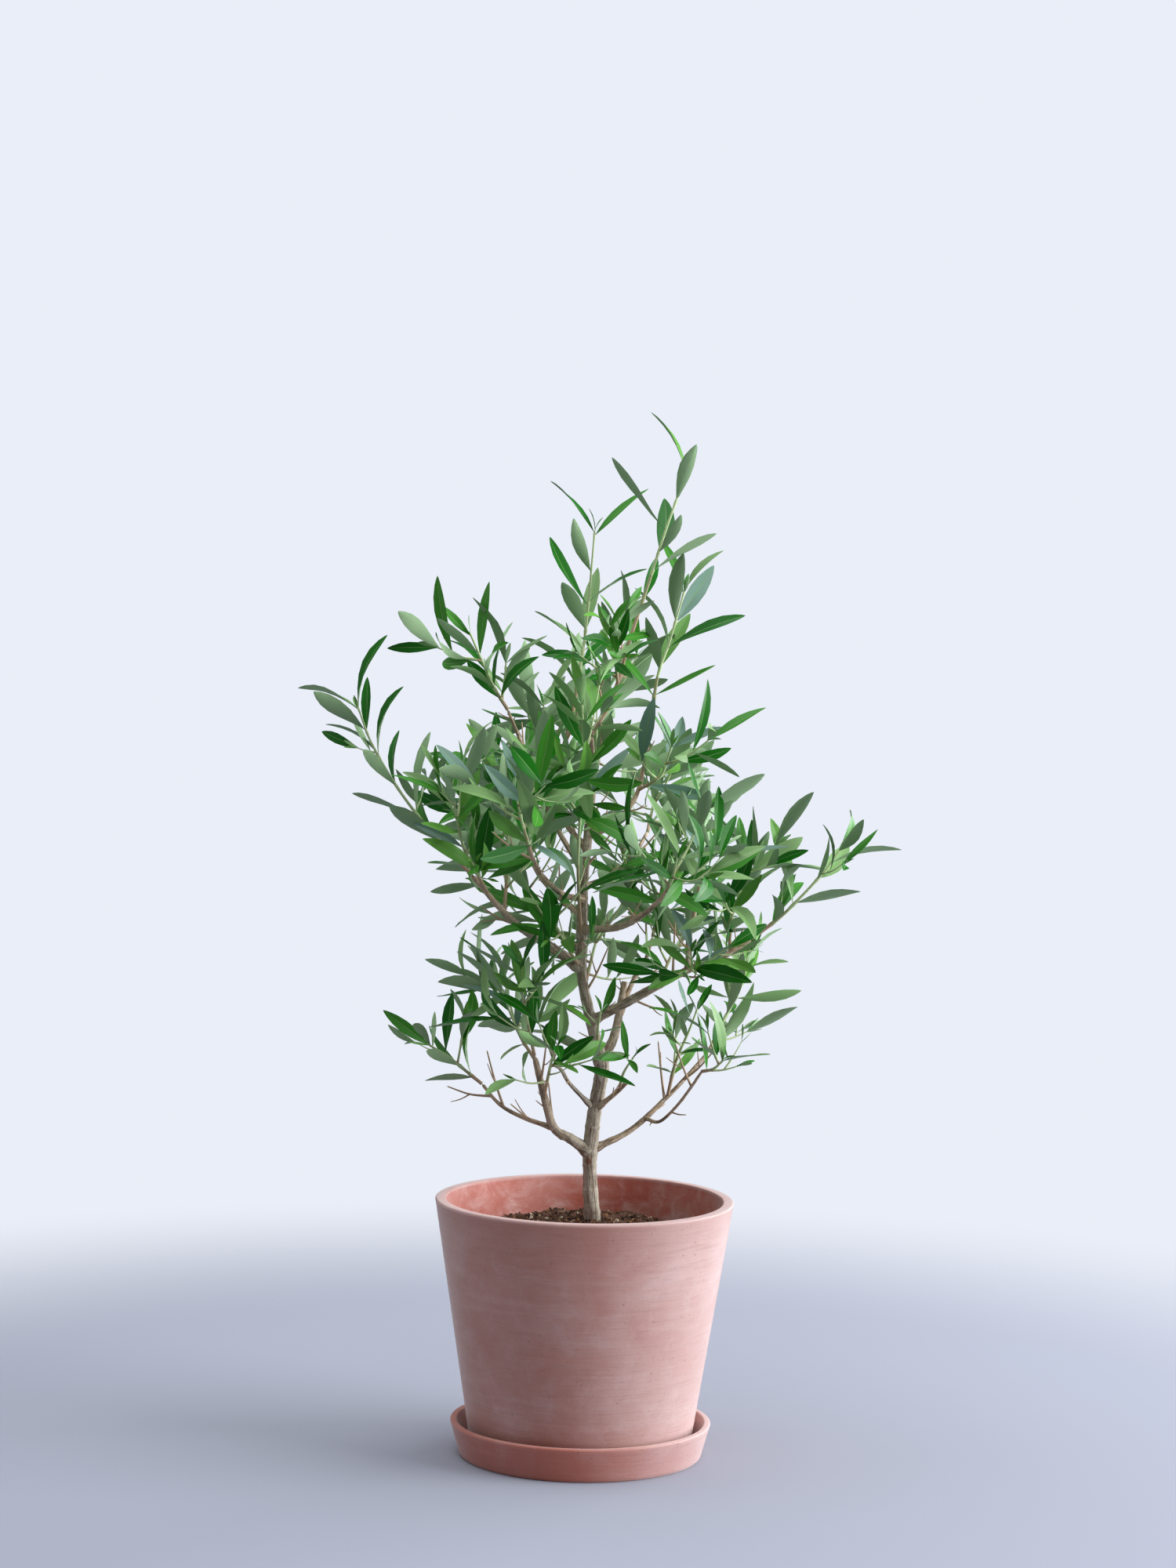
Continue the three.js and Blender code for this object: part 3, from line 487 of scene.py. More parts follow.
def foot_on(carrier, share):
    """Where a stem or limb leaves its carrier: just past the tip, or on its centre line."""
    foot, along, _, _ = carrier["path"].frames(share)
    return foot + along * SEAT_GAP if share == 1 else foot


def radius_at(thickness, shares):
    """Half of a limb's thickness at shares of the way up it."""
    return np.interp(shares, np.linspace(0, 1, len(thickness)), thickness) / 2


@functools.lru_cache(maxsize=None)
def grow_limbs():
    """Every limb's path and thickness by its name, carriers first."""
    limbs = {}
    for name, carrier, share, thickness, *bends in LIMBS:
        path = Path(([foot_on(limbs[carrier], share)] if carrier else []) + bends)
        shares = np.linspace(0, 1, len(path.points) * LIMB_SAMPLES + 1)
        limbs[name] = {"name": name, "path": path, "thickness": thickness, "carrier": carrier,
                       "share": share, "samples": path.at(shares), "radii": radius_at(thickness, shares)}
    return limbs


def leaves_along(path, first, spacing, size, random):
    """Pairs of leaves up a stem, each a quarter turn from the last: one array row for each leaf.

    A row holds the root, the directions along and across the leaf and out of its face, its length,
    its width and how far up its stem it stands."""
    length = path.length()
    count = max(2, math.floor(length * (1 - first) / spacing + 0.5) + 1)
    turn = random() * math.pi
    rows = []
    for pair in range(count):
        for half in range(2):
            share = first + (1 - first) * pair / (count - 1) - half * LEAF_PAIR_STAGGER / length
            root, stemward, one, two = path.frames(share)
            roll = turn + pair * math.pi / 2 + half * math.pi + (random() - 0.5) * LEAF_ROLL_SPREAD
            open_angle = LEAF_OPEN_LOW + (LEAF_OPEN_TIP - LEAF_OPEN_LOW) * share
            open_angle += (random() - 0.5) * LEAF_OPEN_SPREAD
            shrink = TIP_LEAF_SIZE if share > TIP_SHARE else 1
            long = LEAF_LENGTH * size * shrink * drawn(LEAF_LENGTHS, random)
            slender = LEAF_SLENDERNESS * drawn(LEAF_SLENDERNESSES, random)
            twist = (random() - 0.5) * LEAF_TWIST_SPREAD
            is_missing = random() < LEAF_MISSING
            outward = one * math.cos(roll) + two * math.sin(roll)
            along = stemward * math.cos(open_angle) + outward * math.sin(open_angle)
            along = unit(along + np.array([0, 0, LEAF_LIFT]))
            plain = unit(np.cross(along, np.cross(outward, stemward)))
            under = turn_about(plain, along, twist)
            side = unit(np.cross(along, under))
            if not is_missing:
                rows.append(np.concatenate([root, along, side, -under, [long, long / slender, share]]))
    return np.array(rows).reshape(-1, 15)


def side_twig(carrier, share, open_angle, roll, length):
    """The path of a twig that opens from its carrier and lifts a little at its tip."""
    start, along, one, two = carrier.frames(share)
    heading = along * math.cos(open_angle)
    heading = heading + (one * math.cos(roll) + two * math.sin(roll)) * math.sin(open_angle)
    lift = np.array([0, 0, length * TWIG_LIFT])
    return Path([start, start + heading * length / 2, start + heading * length + lift])


def new_shoot(path, radius, order, leaves=NO_LEAVES):
    """A stem (order 0), a side twig (1), a fine twig (2) or an old bare twig (3), with its leaves."""
    return {"path": path, "radius": radius, "order": order, "leaves": leaves}


def clear_of_limbs(points, limbs, clearance):
    """Whether each point is further than a clearance from every limb's bark."""
    is_clear = np.ones(points.shape[:-1], bool)
    for limb in limbs.values():
        distance = np.linalg.norm(points[..., None, :] - limb["samples"], axis=-1)
        is_clear &= (distance > limb["radii"] + clearance).all(axis=-1)
    return is_clear


def leaf_probes(leaves):
    """Points on each leaf, from near its root to its tip and from edge to edge."""
    root, along, side = leaves[:, 0:3], leaves[:, 3:6], leaves[:, 6:9]
    length, width = leaves[:, 12, None], leaves[:, 13, None]
    probes = []
    for lengthwise in LEAF_PROBES:
        if lengthwise < 0:
            reach = LEAF_WIDEST * length * (1 + lengthwise) - LEAF_ROOT_SINK * -lengthwise
        else:
            reach = (LEAF_WIDEST + (1 - LEAF_WIDEST) * lengthwise) * length
        spread = (1 - abs(lengthwise)) * width / 2
        probes += [root + along * reach + side * spread * edge for edge in (-1, 0, 1)]
    return np.stack(probes, axis=1)


@functools.lru_cache(maxsize=None)
def grow_crown(fine_share):
    """Every mass's shoots: the CAD model's own, then finer twigs in the same reach.

    A leaf that would touch a limb is left out, and so are some of those that old wood has lost."""
    limbs = grow_limbs()
    crown = []
    for _, carrier, share, twigs, twig_length, spacing, size, seed, *bends in MASSES:
        random = random_from(seed)
        stem = Path([foot_on(limbs[carrier], share)] + bends)
        leaves = leaves_along(stem, STEM_FIRST_LEAF, spacing, size, random)
        shoots = [new_shoot(stem, STEM_RADIUS, 0, leaves)]
        for twig in range(twigs):
            place = TWIG_LOWEST + TWIG_SPAN * (twig + random()) / twigs
            roll = seed + twig * GOLDEN_ANGLE + (random() - 0.5) * TWIG_ROLL_SPREAD
            open_angle = drawn(TWIG_OPENINGS, random)
            length = twig_length * drawn(TWIG_LENGTHS, random)
            path = side_twig(stem, place, open_angle, roll, length)
            leaves = leaves_along(path, TWIG_FIRST_LEAF, spacing, size, random)
            shoots.append(new_shoot(path, TWIG_RADIUS, 1, leaves))
        crown.append(shoots + fine_twigs(shoots, spacing, size, seed, fine_share))
    chances = np.random.default_rng(SEEDS["lost leaves"])
    for shoots in crown:
        for shoot in shoots:
            leaves = shoot["leaves"]
            is_clear = clear_of_limbs(leaf_probes(leaves), limbs, LEAF_LIMB_CLEARANCE).all(axis=1)
            is_kept = chances.uniform(0, 1, len(leaves)) < leaf_chance(leaves)
            shoot["leaves"] = leaves[is_clear & is_kept]
    return crown


def leaf_chance(leaves):
    """The chance that a leaf is there: old wood near the trunk and low down is bare, and none hangs."""
    reach = np.hypot(leaves[:, 0], leaves[:, 1])
    height = leaves[:, 2]
    inner = BARE_CHANCE + (1 - BARE_CHANCE) * smooth_step(reach, *BARE_REACH)
    low = LOW_CHANCE + (1 - LOW_CHANCE) * smooth_step(height, *LOW_HEIGHT)
    is_hanging = leaves[:, 5] < STEEPEST_DIP
    return np.where(is_hanging, 0, np.maximum(inner, smooth_step(height, *OPEN_HEIGHT)) * low)


def fine_twigs(shoots, spacing, size, seed, fine_share):
    """Short twigs with small leaves on the stem and twigs of a mass, fewer towards the top."""
    random = random_from(seed + FINE_TWIG_SEED)
    fine = []
    for shoot in shoots:
        path = shoot["path"]
        busy = 1 - smooth_step(path.at(0.5)[2], *BUSY_HEIGHT)
        count = math.floor(path.length() * fine_share * busy / FINE_TWIG_STEP + random() * busy)
        for twig in range(count):
            place = FINE_TWIG_LOWEST + FINE_TWIG_SPAN * (twig + random()) / count
            roll = seed + FINE_TWIG_ROLL + twig * GOLDEN_ANGLE + random()
            length = drawn(FINE_TWIG_LENGTHS, random)
            short = side_twig(path, place, drawn(FINE_TWIG_OPENINGS, random), roll, length)
            leaves = leaves_along(short, FINE_FIRST_LEAF, spacing * FINE_LEAF_SPACING,
                                  size * FINE_LEAF_SIZE, random)
            fine.append(new_shoot(short, FINE_TWIG_RADIUS, 2, leaves))
    return fine


def bare_twigs(limbs):
    """Old twigs and short dead spurs without leaves, on every limb above the trunk."""
    random = random_from(BARE_TWIG_SEED)
    bare = []
    for limb in limbs.values():
        path = limb["path"]
        count = math.floor(path.length() / BARE_TWIG_STEP) if limb["carrier"] else 0
        for twig in range(count):
            place = BARE_TWIG_LOWEST + BARE_TWIG_SPAN * (twig + random()) / count
            roll = twig * GOLDEN_ANGLE + BARE_TWIG_ROLL_SPREAD * random()
            length = BARE_TWIG_LEAST + BARE_TWIG_SPREAD * random() ** BARE_TWIG_SHORTNESS
            long = side_twig(path, place, drawn(BARE_TWIG_OPENINGS, random), roll, length)
            bare.append(new_shoot(long, BARE_TWIG_RADIUS + BARE_TWIG_THICKENING * length, 3))
            if length > 2 * BARE_TWIG_LEAST:
                roll = FORK_ROLL_SPREAD * random()
                fork = side_twig(long, 0.5, FORK_OPENING, roll, length * FORK_LENGTH)
                bare.append(new_shoot(fork, FORK_RADIUS, 3))
    return bare


# Shaders

def math_pair(operation):
    """The operator that adds a Math node, and its reflected form."""
    def forward(signal, other):
        return signal.tree.node("ShaderNodeMath", {"operation": operation}, {0: signal, 1: other})

    def reflected(signal, other):
        return signal.tree.node("ShaderNodeMath", {"operation": operation}, {0: other, 1: signal})

    return forward, reflected


class Signal:
    """One socket of a shader tree. Arithmetic on it adds Math nodes."""
    __add__, __radd__ = math_pair("ADD")
    __sub__, __rsub__ = math_pair("SUBTRACT")
    __mul__, __rmul__ = math_pair("MULTIPLY")
    __pow__, __rpow__ = math_pair("POWER")

    def __init__(self, tree, socket):
        self.tree = tree
        self.socket = socket

    def ramp(self, low, high):
        """0 at low, 1 at high, smooth between them. High may be less than low."""
        settings = {"interpolation_type": "SMOOTHSTEP", "clamp": True}
        inputs = {"Value": self, "From Min": low, "From Max": high, "To Min": 0.0, "To Max": 1.0}
        return self.tree.node("ShaderNodeMapRange", settings, inputs)


def layers(*rows):
    """A sum of masks. A row is a signal, where its ramp starts and ends, and how much it counts."""
    masks = [signal.ramp(low, high) * amount for signal, low, high, amount in rows]
    return sum(masks[1:], masks[0])


class Tree:
    """The node tree of a material or a world, written as expressions."""

    def __init__(self, owner):
        owner.use_nodes = True
        self.owner = owner
        self.nodes = owner.node_tree.nodes
        self.links = owner.node_tree.links
        self.nodes.clear()

    def node(self, kind, settings=None, inputs=None, output=0):
        """Adds a node: first its settings, then the values or links of its sockets, by name or number."""
        made = self.nodes.new(kind)
        for key, value in (settings or {}).items():
            setattr(made, key, value)
        for key, value in (inputs or {}).items():
            if isinstance(value, Signal):
                self.links.new(value.socket, made.inputs[key])
            else:
                made.inputs[key].default_value = value
        if not made.outputs:
            return made
        return Signal(self, made.outputs[output])

    def place(self):
        """The object coordinates as a vector."""
        return self.node("ShaderNodeTexCoord", output="Object")

    def attribute(self, name, output):
        """What the mesh stores under a name."""
        return self.node("ShaderNodeAttribute", {"attribute_name": name}, None, output)

    def parts(self, vector):
        """A vector's three parts."""
        split = self.node("ShaderNodeSeparateXYZ", None, {0: vector})
        return [Signal(self, socket) for socket in split.socket.node.outputs]

    def vector_maths(self, operation, one, two, output="Vector"):
        """A Vector Math node on two vectors."""
        return self.node("ShaderNodeVectorMath", {"operation": operation}, {0: one, 1: two}, output)

    def noise(self, vector, scale, detail, roughness, warp=0, stretch=None):
        """Soft noise from about 0.25 to 0.75. Its scale is in waves to the metre, for each part of the
        vector alike, or times that part's stretch."""
        if stretch:
            vector = self.vector_maths("MULTIPLY", vector, stretch)
        inputs = {"Vector": vector, "Scale": scale, "Detail": detail, "Roughness": roughness,
                  "Distortion": warp}
        return self.node("ShaderNodeTexNoise", None, inputs, "Fac")

    def cells(self, vector, scale):
        """Distance to the nearest of scattered points."""
        return self.node("ShaderNodeTexVoronoi", None, {"Vector": vector, "Scale": scale}, "Distance")

    def mix(self, start, end, share):
        """A colour between two colours, which are the Mix node's sockets 6 and 7."""
        return self.node("ShaderNodeMix", {"data_type": "RGBA"}, {0: share, 6: start, 7: end}, 2)

    def bump(self, height, distance, strength=1):
        """A normal from a height from 0 to 1 and its depth in metres."""
        inputs = {"Height": height, "Distance": distance, "Strength": strength}
        return self.node("ShaderNodeBump", None, inputs)

    def surface(self, **inputs):
        """Adds the shader and the output that it feeds, and gives the material."""
        named = {key.replace("_", " "): value for key, value in inputs.items()}
        shader = self.node("ShaderNodeBsdfPrincipled", None, named)
        self.node("ShaderNodeOutputMaterial", None, {"Surface": shader})
        return self.owner


def new_material(name):
    return Tree(bpy.data.materials.new(name))


def tint(red, green, blue):
    """A screen colour from 0 to 255 as Blender's linear colour."""
    values = np.array([red, green, blue]) / 255
    linear = np.where(values <= 0.04045, values / 12.92, ((values + 0.055) / 1.055) ** 2.4)
    return (*[float(value) for value in linear], 1.0)


def opaque(colour):
    return (*colour, 1)


def shaded(colour, share):
    """A colour made darker or lighter, up to full brightness."""
    return tuple(min(1.0, value * share) for value in colour[:3]) + (1.0,)


def plain_finish(name, colour, roughness, gloss=0.3):
    """One base colour, for small surfaces that are dealt out among several finishes."""
    material = new_material(name).surface(Base_Color=colour, Roughness=roughness, Specular_IOR_Level=gloss)
    material.diffuse_color = colour
    return material


# Sizes and colours that a user would change

def colour_property(name, description, *screen_colour):
    return FloatVectorProperty(name=name, description=description, default=tint(*screen_colour)[:3],
                               subtype="COLOR", size=3, min=0, max=1)


def length_property(name, description, default):
    return FloatProperty(name=name, description=description, default=default * MM, unit="LENGTH")


def power_property(name, description, default):
    return FloatProperty(name=name, description=description, default=default, unit="POWER")


class OlivePotSettings(bpy.types.PropertyGroup):
    """Sizes and colours of the pot and saucer."""
    rim_radius: length_property("Rim radius", "Outer radius of the pot's rim", POT_RIM_RADIUS)
    height: length_property("Height", "Height of the pot", POT_HEIGHT)
    outside: colour_property("Outside", "Weathered clay of the pot's outside", 172, 116, 103)
    bloom: colour_property("Bloom", "Pale lime bloom on the clay", 204, 172, 168)
    inside: colour_property("Inside", "Damp clay of the pot's inside", 184, 92, 74)
    lime: colour_property("Lime", "Lime stains on the pot's inside", 214, 168, 160)
    saucer: colour_property("Saucer", "Clay of the saucer", 174, 96, 78)


class OliveSoilSettings(bpy.types.PropertyGroup):
    """Looks of the compost."""
    dark: colour_property("Dark", "Moist compost", 84, 55, 43)
    light: colour_property("Light", "Dry compost", 138, 102, 80)
    crumbs: IntProperty(name="Crumbs", description="Number of loose crumbs", default=3400, min=0)


class OliveWoodSettings(bpy.types.PropertyGroup):
    """Looks of the trunk and boughs."""
    bark: colour_property("Bark", "Grey bark of the trunk", 170, 160, 145)
    young_bark: colour_property("Young bark", "Brown bark of the boughs", 182, 158, 132)
    scar: colour_property("Scar", "Old scar on the trunk", 112, 70, 44)
    cut_wood: colour_property("Cut wood", "Sawn ends of the boughs", 196, 178, 148)
    ring_step: length_property("Ring step", "Distance between the mesh's rings along a limb", 2.0)
    sides: IntProperty(name="Sides", description="Corners in each ring", default=22, min=8)


class OliveFoliageSettings(bpy.types.PropertyGroup):
    """Amount and colours of the foliage."""
    fine_twigs: FloatProperty(name="Fine twigs", description="How many fine twigs stand on the shoots",
                              default=0.5, min=0, max=2, subtype="FACTOR")
    deep: colour_property("Deep green", "Upper side of old leaves", 12, 95, 0)
    mid: colour_property("Mid green", "Upper side of most leaves", 52, 124, 26)
    grey: colour_property("Grey green", "Upper side of dull leaves", 112, 149, 90)
    bright: colour_property("Bright green", "Upper side of young leaves", 88, 146, 52)
    blue: colour_property("Blue green", "Upper side of old leaves", 96, 128, 112)
    silver: colour_property("Silver", "Underside of the leaves", 150, 181, 137)
    midrib: colour_property("Midrib", "Midrib of the leaves", 112, 152, 84)


class OliveStageSettings(bpy.types.PropertyGroup):
    """Light, floor and backdrop."""
    key_power: power_property("Key light", "Power of the large light on the right", 190.0)
    top_power: power_property("Top light", "Power of the soft light overhead", 52.0)
    wall_power: power_property("Wall light", "Power of the light from behind", 60.0)
    left_power: power_property("Left light", "Power of the soft light on the left", 8.0)
    fill: FloatProperty(name="Fill", description="Strength of the light from all round",
                        default=0.29, min=0)
    floor: colour_property("Floor", "Pale floor", 157, 160, 173)
    backdrop: colour_property("Backdrop", "Pale backdrop", 234, 238, 248)


# Saucer and pot

def saucer_outline():
    """The saucer's section: a flat foot, a leaning wall with a round lip, and a floor with a cove."""
    edge = SAUCER_EDGE
    wall_top = SAUCER_HEIGHT - edge
    lean = (SAUCER_LIP_RADIUS - SAUCER_FOOT_RADIUS) / wall_top
    inner = SAUCER_LIP_RADIUS - SAUCER_WALL
    cove_in, cove_up = SAUCER_COVE
    foot = (SAUCER_FOOT_RADIUS - edge, 0), (SAUCER_FOOT_RADIUS, edge)
    outer_arc = arc_points((SAUCER_LIP_RADIUS - edge, wall_top), edge, 0, 90, 7)
    inner_arc = arc_points((inner + edge, wall_top), edge, 90, 180, 7)
    low_wall = (inner - lean * (wall_top - SAUCER_FLOOR - cove_up), SAUCER_FLOOR + cove_up)
    floor_edge = (SAUCER_FOOT_RADIUS - SAUCER_WALL - cove_in, SAUCER_FLOOR)
    outline = line_points((0, 0), foot[0], 8) + line_points(*foot, 3)
    outline += line_points(foot[1], (SAUCER_LIP_RADIUS, wall_top), 14)
    outline += outer_arc + line_points(outer_arc[-1], inner_arc[0], 3)[1:] + inner_arc
    outline += line_points((inner, wall_top), low_wall, 8)[1:] + line_points(low_wall, floor_edge, 3)
    return outline + line_points(floor_edge, (0, SAUCER_FLOOR), 6) + [(0, SAUCER_FLOOR)]


def pot_radius(height):
    """The pot's outer radius at a height: a straight flare from foot to rim."""
    return POT_FOOT_RADIUS + (POT_RIM_RADIUS - POT_FOOT_RADIUS) * (height - POT_FOOT) / POT_HEIGHT


def pot_outline():
    """The pot's section: a flat foot, a flaring wall with a softly rounded rim, and a floor with a cove."""
    top = POT_FOOT + POT_HEIGHT
    floor = POT_FOOT + POT_FLOOR
    edge = POT_EDGE
    cove_in, cove_up = POT_COVE
    foot_arc = arc_points((POT_FOOT_RADIUS - edge, POT_FOOT + edge), edge, -90, 0, 6)
    outer_arc = arc_points((POT_RIM_RADIUS - edge, top - edge), edge, 0, 90, 8)
    inner_arc = arc_points((POT_RIM_RADIUS - POT_WALL + edge, top - edge), edge, 90, 180, 8)
    low_wall = (pot_radius(floor + cove_up) - POT_WALL, floor + cove_up)
    floor_edge = (low_wall[0] - cove_in, floor)
    outline = line_points((0, POT_FOOT), foot_arc[0], 6) + foot_arc
    outline += line_points(foot_arc[-1], outer_arc[0], 70)[1:] + outer_arc
    outline += line_points(outer_arc[-1], inner_arc[0], 5)[1:] + inner_arc
    outline += line_points(inner_arc[-1], low_wall, 40)[1:] + line_points(low_wall, floor_edge, 4)
    return outline + line_points(floor_edge, (0, floor), 5) + [(0, floor)]


def hand_thrown(amount, seed):
    """Small unevenness of a turned piece, as a function of radius, height and angle.

    The radius gains waves of two and of three to the turn, faint rings some 11 and 5 mm apart, and a
    wave of five. High up, the height rises and falls twice in a turn. The middle stays true."""
    phase = np.random.default_rng(seed).uniform(0, TURN, 6)

    def wobble(radius, height, angle):
        free = smooth_step(radius, 30, 80)
        waves = np.sin(2 * angle + phase[0]) + 0.6 * np.sin(3 * angle + phase[1] + height * 0.01)
        rings = 0.35 * np.sin(height * 0.55 + phase[2]) + 0.25 * np.sin(height * 1.3 + phase[3])
        lip = 0.5 * np.sin(5 * angle + phase[4])
        lift = amount * 0.6 * free * np.sin(2 * angle + phase[5]) * smooth_step(height, 150, 215)
        return radius + amount * free * 0.4 * (waves + rings + lip), height + lift

    return wobble


# Places on the pot in metres: across its wall, the fresher clay under the rim, the foot and top of the
# limy belt above the compost, and the rim. From left to right, a painted highlight grows on the lit side
WALL_MIDDLE = (-0.0022, 0.0022)
FRESH_CLAY = (0.165, 0.225)
BELT_FOOT = (0.15, 0.172)
BELT_TOP = (0.212, 0.192)
RIM = ((POT_FOOT + POT_HEIGHT - 3) * MM, (POT_FOOT + POT_HEIGHT - 1) * MM)
PAINTED_HIGHLIGHT_SIDE = (-0.005, 0.11)

# Pale painted highlight on the lit side, bloom left on the saucer, and bloom lost on the fresher clay
PAINTED_HIGHLIGHT_BLOOM = 0.66
SAUCER_BLOOM = 0.55
FRESH_LOSS = 0.6


def clay_finish(name, outside, bloom, inside, lime, is_pot):
    """Weathered clay: cloudy bloom, a painted highlight of pale bloom on the lit side, turning marks,
    specks and pits.

    A pot also has fresher clay under its rim, a limy rim, and a redder inside with smears of lime."""
    tree = new_material(name)
    place = tree.place()
    x, y, z = tree.parts(place)
    reach = (x * x + y * y) ** 0.5
    slope = (POT_RIM_RADIUS - POT_FOOT_RADIUS) / POT_HEIGHT
    middle = (POT_FOOT_RADIUS - POT_WALL / 2 - slope * POT_FOOT) * MM + z * slope
    inner = (middle - reach).ramp(*WALL_MIDDLE) * is_pot
    clouds = tree.noise(place, scale=13, detail=5, roughness=0.6, warp=0.4)
    mottle = tree.noise(place, scale=46, detail=5, roughness=0.65, warp=0.8)
    specks = tree.noise(place, scale=420, detail=3, roughness=0.6)
    brushed = tree.noise(place, scale=1, detail=3, roughness=0.65, stretch=(26, 26, 640))
    bands = tree.noise(place, scale=1, detail=4, roughness=0.62, warp=0.3, stretch=(9, 9, 110))
    smears = tree.noise(place, scale=1, detail=6, roughness=0.68, warp=0.5, stretch=(42, 42, 62))
    fresh = z.ramp(*FRESH_CLAY) * is_pot
    belt = z.ramp(*BELT_FOOT) * z.ramp(*BELT_TOP)
    pale = layers((clouds, 0.38, 0.68, 0.32), (bands, 0.46, 0.7, 0.12), (mottle, 0.46, 0.72, 0.14))
    pale = pale * (1.0 if is_pot else SAUCER_BLOOM) * (1 - FRESH_LOSS * fresh)
    # painted highlight: pot and saucer turn towards pale bloom on the lit right side, where the key light
    # falls
    pale = pale + x.ramp(*PAINTED_HIGHLIGHT_SIDE) * PAINTED_HIGHLIGHT_BLOOM
    dirt = layers((brushed, 0.5, 0.74, 0.24), (specks, 0.6, 0.74, 0.34),
                  (tree.cells(place, 75), 0.09, 0.05, 0.5)) + fresh * 0.12
    limy = layers((clouds, 0.4, 0.64, 0.32), (smears, 0.42, 0.74, 0.25 + belt * 0.35),
                  (mottle, 0.48, 0.66, 0.25))
    colour = tree.mix(outside, bloom, pale)
    colour = tree.mix(colour, shaded(outside, 0.62), dirt)
    colour = tree.mix(colour, tree.mix(inside, lime, limy), inner)
    colour = tree.mix(colour, bloom, z.ramp(*RIM) * is_pot * (0.2 + mottle * 0.5))
    height = brushed * 0.6 + bands * 0.3 + specks * 0.5 + mottle * 0.5
    return tree.surface(
        Base_Color=colour, Roughness=0.5 + 0.16 * clouds, Specular_IOR_Level=0.55,
        Coat_Weight=0.15 - 0.15 * inner, Coat_Roughness=0.55, Sheen_Weight=0.4, Sheen_Roughness=0.4,
        Normal=tree.bump(height, 0.0005, 0.5))


def make_clay_piece(name, outline, wobble, colours, is_pot, node, stretch=(1, 1, 1)):
    """Turns an outline, stretches it, and gives it a clay finish."""
    shape = Shape()
    corners, faces = turned_surface(outline, TURNED_SIDES, wobble)
    shape.add(corners * stretch, faces)
    finish = clay_finish(f"{node}_clay", *[opaque(colour) for colour in colours], is_pot)
    make_piece(name, shape, [finish], [node])


class OLIVE_OT_saucer(bpy.types.Operator):
    """Turns the saucer that catches the water."""
    bl_idname = "olive.saucer"
    bl_label = "Saucer"

    def execute(self, context):
        look = context.scene.olive_pot
        make_clay_piece("clay_saucer", saucer_outline(), hand_thrown(SAUCER_WOBBLE, SEEDS["saucer"]),
                        (look.saucer, look.bloom, look.saucer, look.lime), False, "saucer")
        return {"FINISHED"}


class OLIVE_OT_pot(bpy.types.Operator):
    """Turns the flaring terracotta pot."""
    bl_idname = "olive.pot"
    bl_label = "Pot"

    def execute(self, context):
        look = context.scene.olive_pot
        widen = look.rim_radius / (POT_RIM_RADIUS * MM)
        heighten = look.height / (POT_HEIGHT * MM)
        make_clay_piece("terracotta_pot", pot_outline(), hand_thrown(POT_WOBBLE, SEEDS["pot"]),
                        (look.outside, look.bloom, look.inside, look.lime), True, "pot",
                        (widen, widen, heighten))
        return {"FINISHED"}


# Compost

# Loose crumbs in millimetres. A fibre is a crumb drawn out long and thin
CRUMB_SIZES = (0.7, 2.3)
CRUMB_REACH = 4.0
CRUMB_SHARES = (0.34, 0.28, 0.19, 0.13, 0.06)
CRUMB_TINTS = ((50, 34, 26), (78, 56, 43), (108, 80, 60), (140, 98, 68), (188, 170, 146))
FIBRE_SHARE = 0.22
FIBRE_SIZE = 1.3
FIBRE_STRETCH = 3.2
FIBRE_NARROWING = 0.6
OCTAHEDRON = np.array([[1, 0, 0], [0, 1, 0], [-1, 0, 0], [0, -1, 0], [0, 0, 1], [0, 0, -1]], float)
OCTAHEDRON_FACES = np.array([[0, 1, 4], [1, 2, 4], [2, 3, 4], [3, 0, 4],
                             [1, 0, 5], [2, 1, 5], [3, 2, 5], [0, 3, 5]])


def soil_height(x, y):
    """The compost's height: a quarter sine from the wall to the trunk, lumps, and fine crumble.

    Lumps and crumble are sums and products of sines across the compost; the lumps fade at the edges."""
    radius = np.hypot(x, y)
    wall = pot_radius(SOIL_EDGE_HEIGHT) - POT_WALL - SEAT_GAP
    share = np.clip((wall - radius) / (wall - SOIL_SEAT_RADIUS), 0, 1)
    dome = SOIL_EDGE_HEIGHT + (SOIL_SEAT_HEIGHT - SOIL_EDGE_HEIGHT) * np.sin(share * math.pi / 2)
    coarse = np.sin(0.093 * x + 1.1) * np.cos(0.081 * y - 0.4)
    fine = np.sin(0.21 * x - 0.17 * y + 2.0)
    free = smooth_step(radius, SOIL_SEAT_RADIUS, SOIL_SEAT_RADIUS + SOIL_FADE)
    free = free * (1 - smooth_step(radius, wall - SOIL_FADE, wall - 2))
    crumble = np.sin(0.47 * x + 0.31 * y) * np.sin(0.53 * y - 0.22 * x + 1.0)
    crumble = crumble + 0.7 * np.sin(0.93 * x - 0.4) * np.sin(1.01 * y + 0.7)
    return dome + SOIL_LUMP * free * (coarse + 0.6 * fine) + SOIL_CRUMBLE * crumble


def soil_finish(dark, light):
    """Compost: dark and dry patches, and a rough crumb."""
    tree = new_material("compost")
    place = tree.place()
    patches = tree.noise(place, scale=60, detail=5, roughness=0.65)
    crumbs = tree.noise(place, scale=520, detail=4, roughness=0.7)
    dry = layers((patches, 0.42, 0.72, 0.5), (crumbs, 0.5, 0.7, 0.6))
    height = crumbs + 0.5 * tree.cells(place, 640)
    return tree.surface(Base_Color=tree.mix(dark, light, dry), Roughness=0.86 + 0.1 * crumbs,
                        Specular_IOR_Level=0.25, Normal=tree.bump(height, 0.0016))


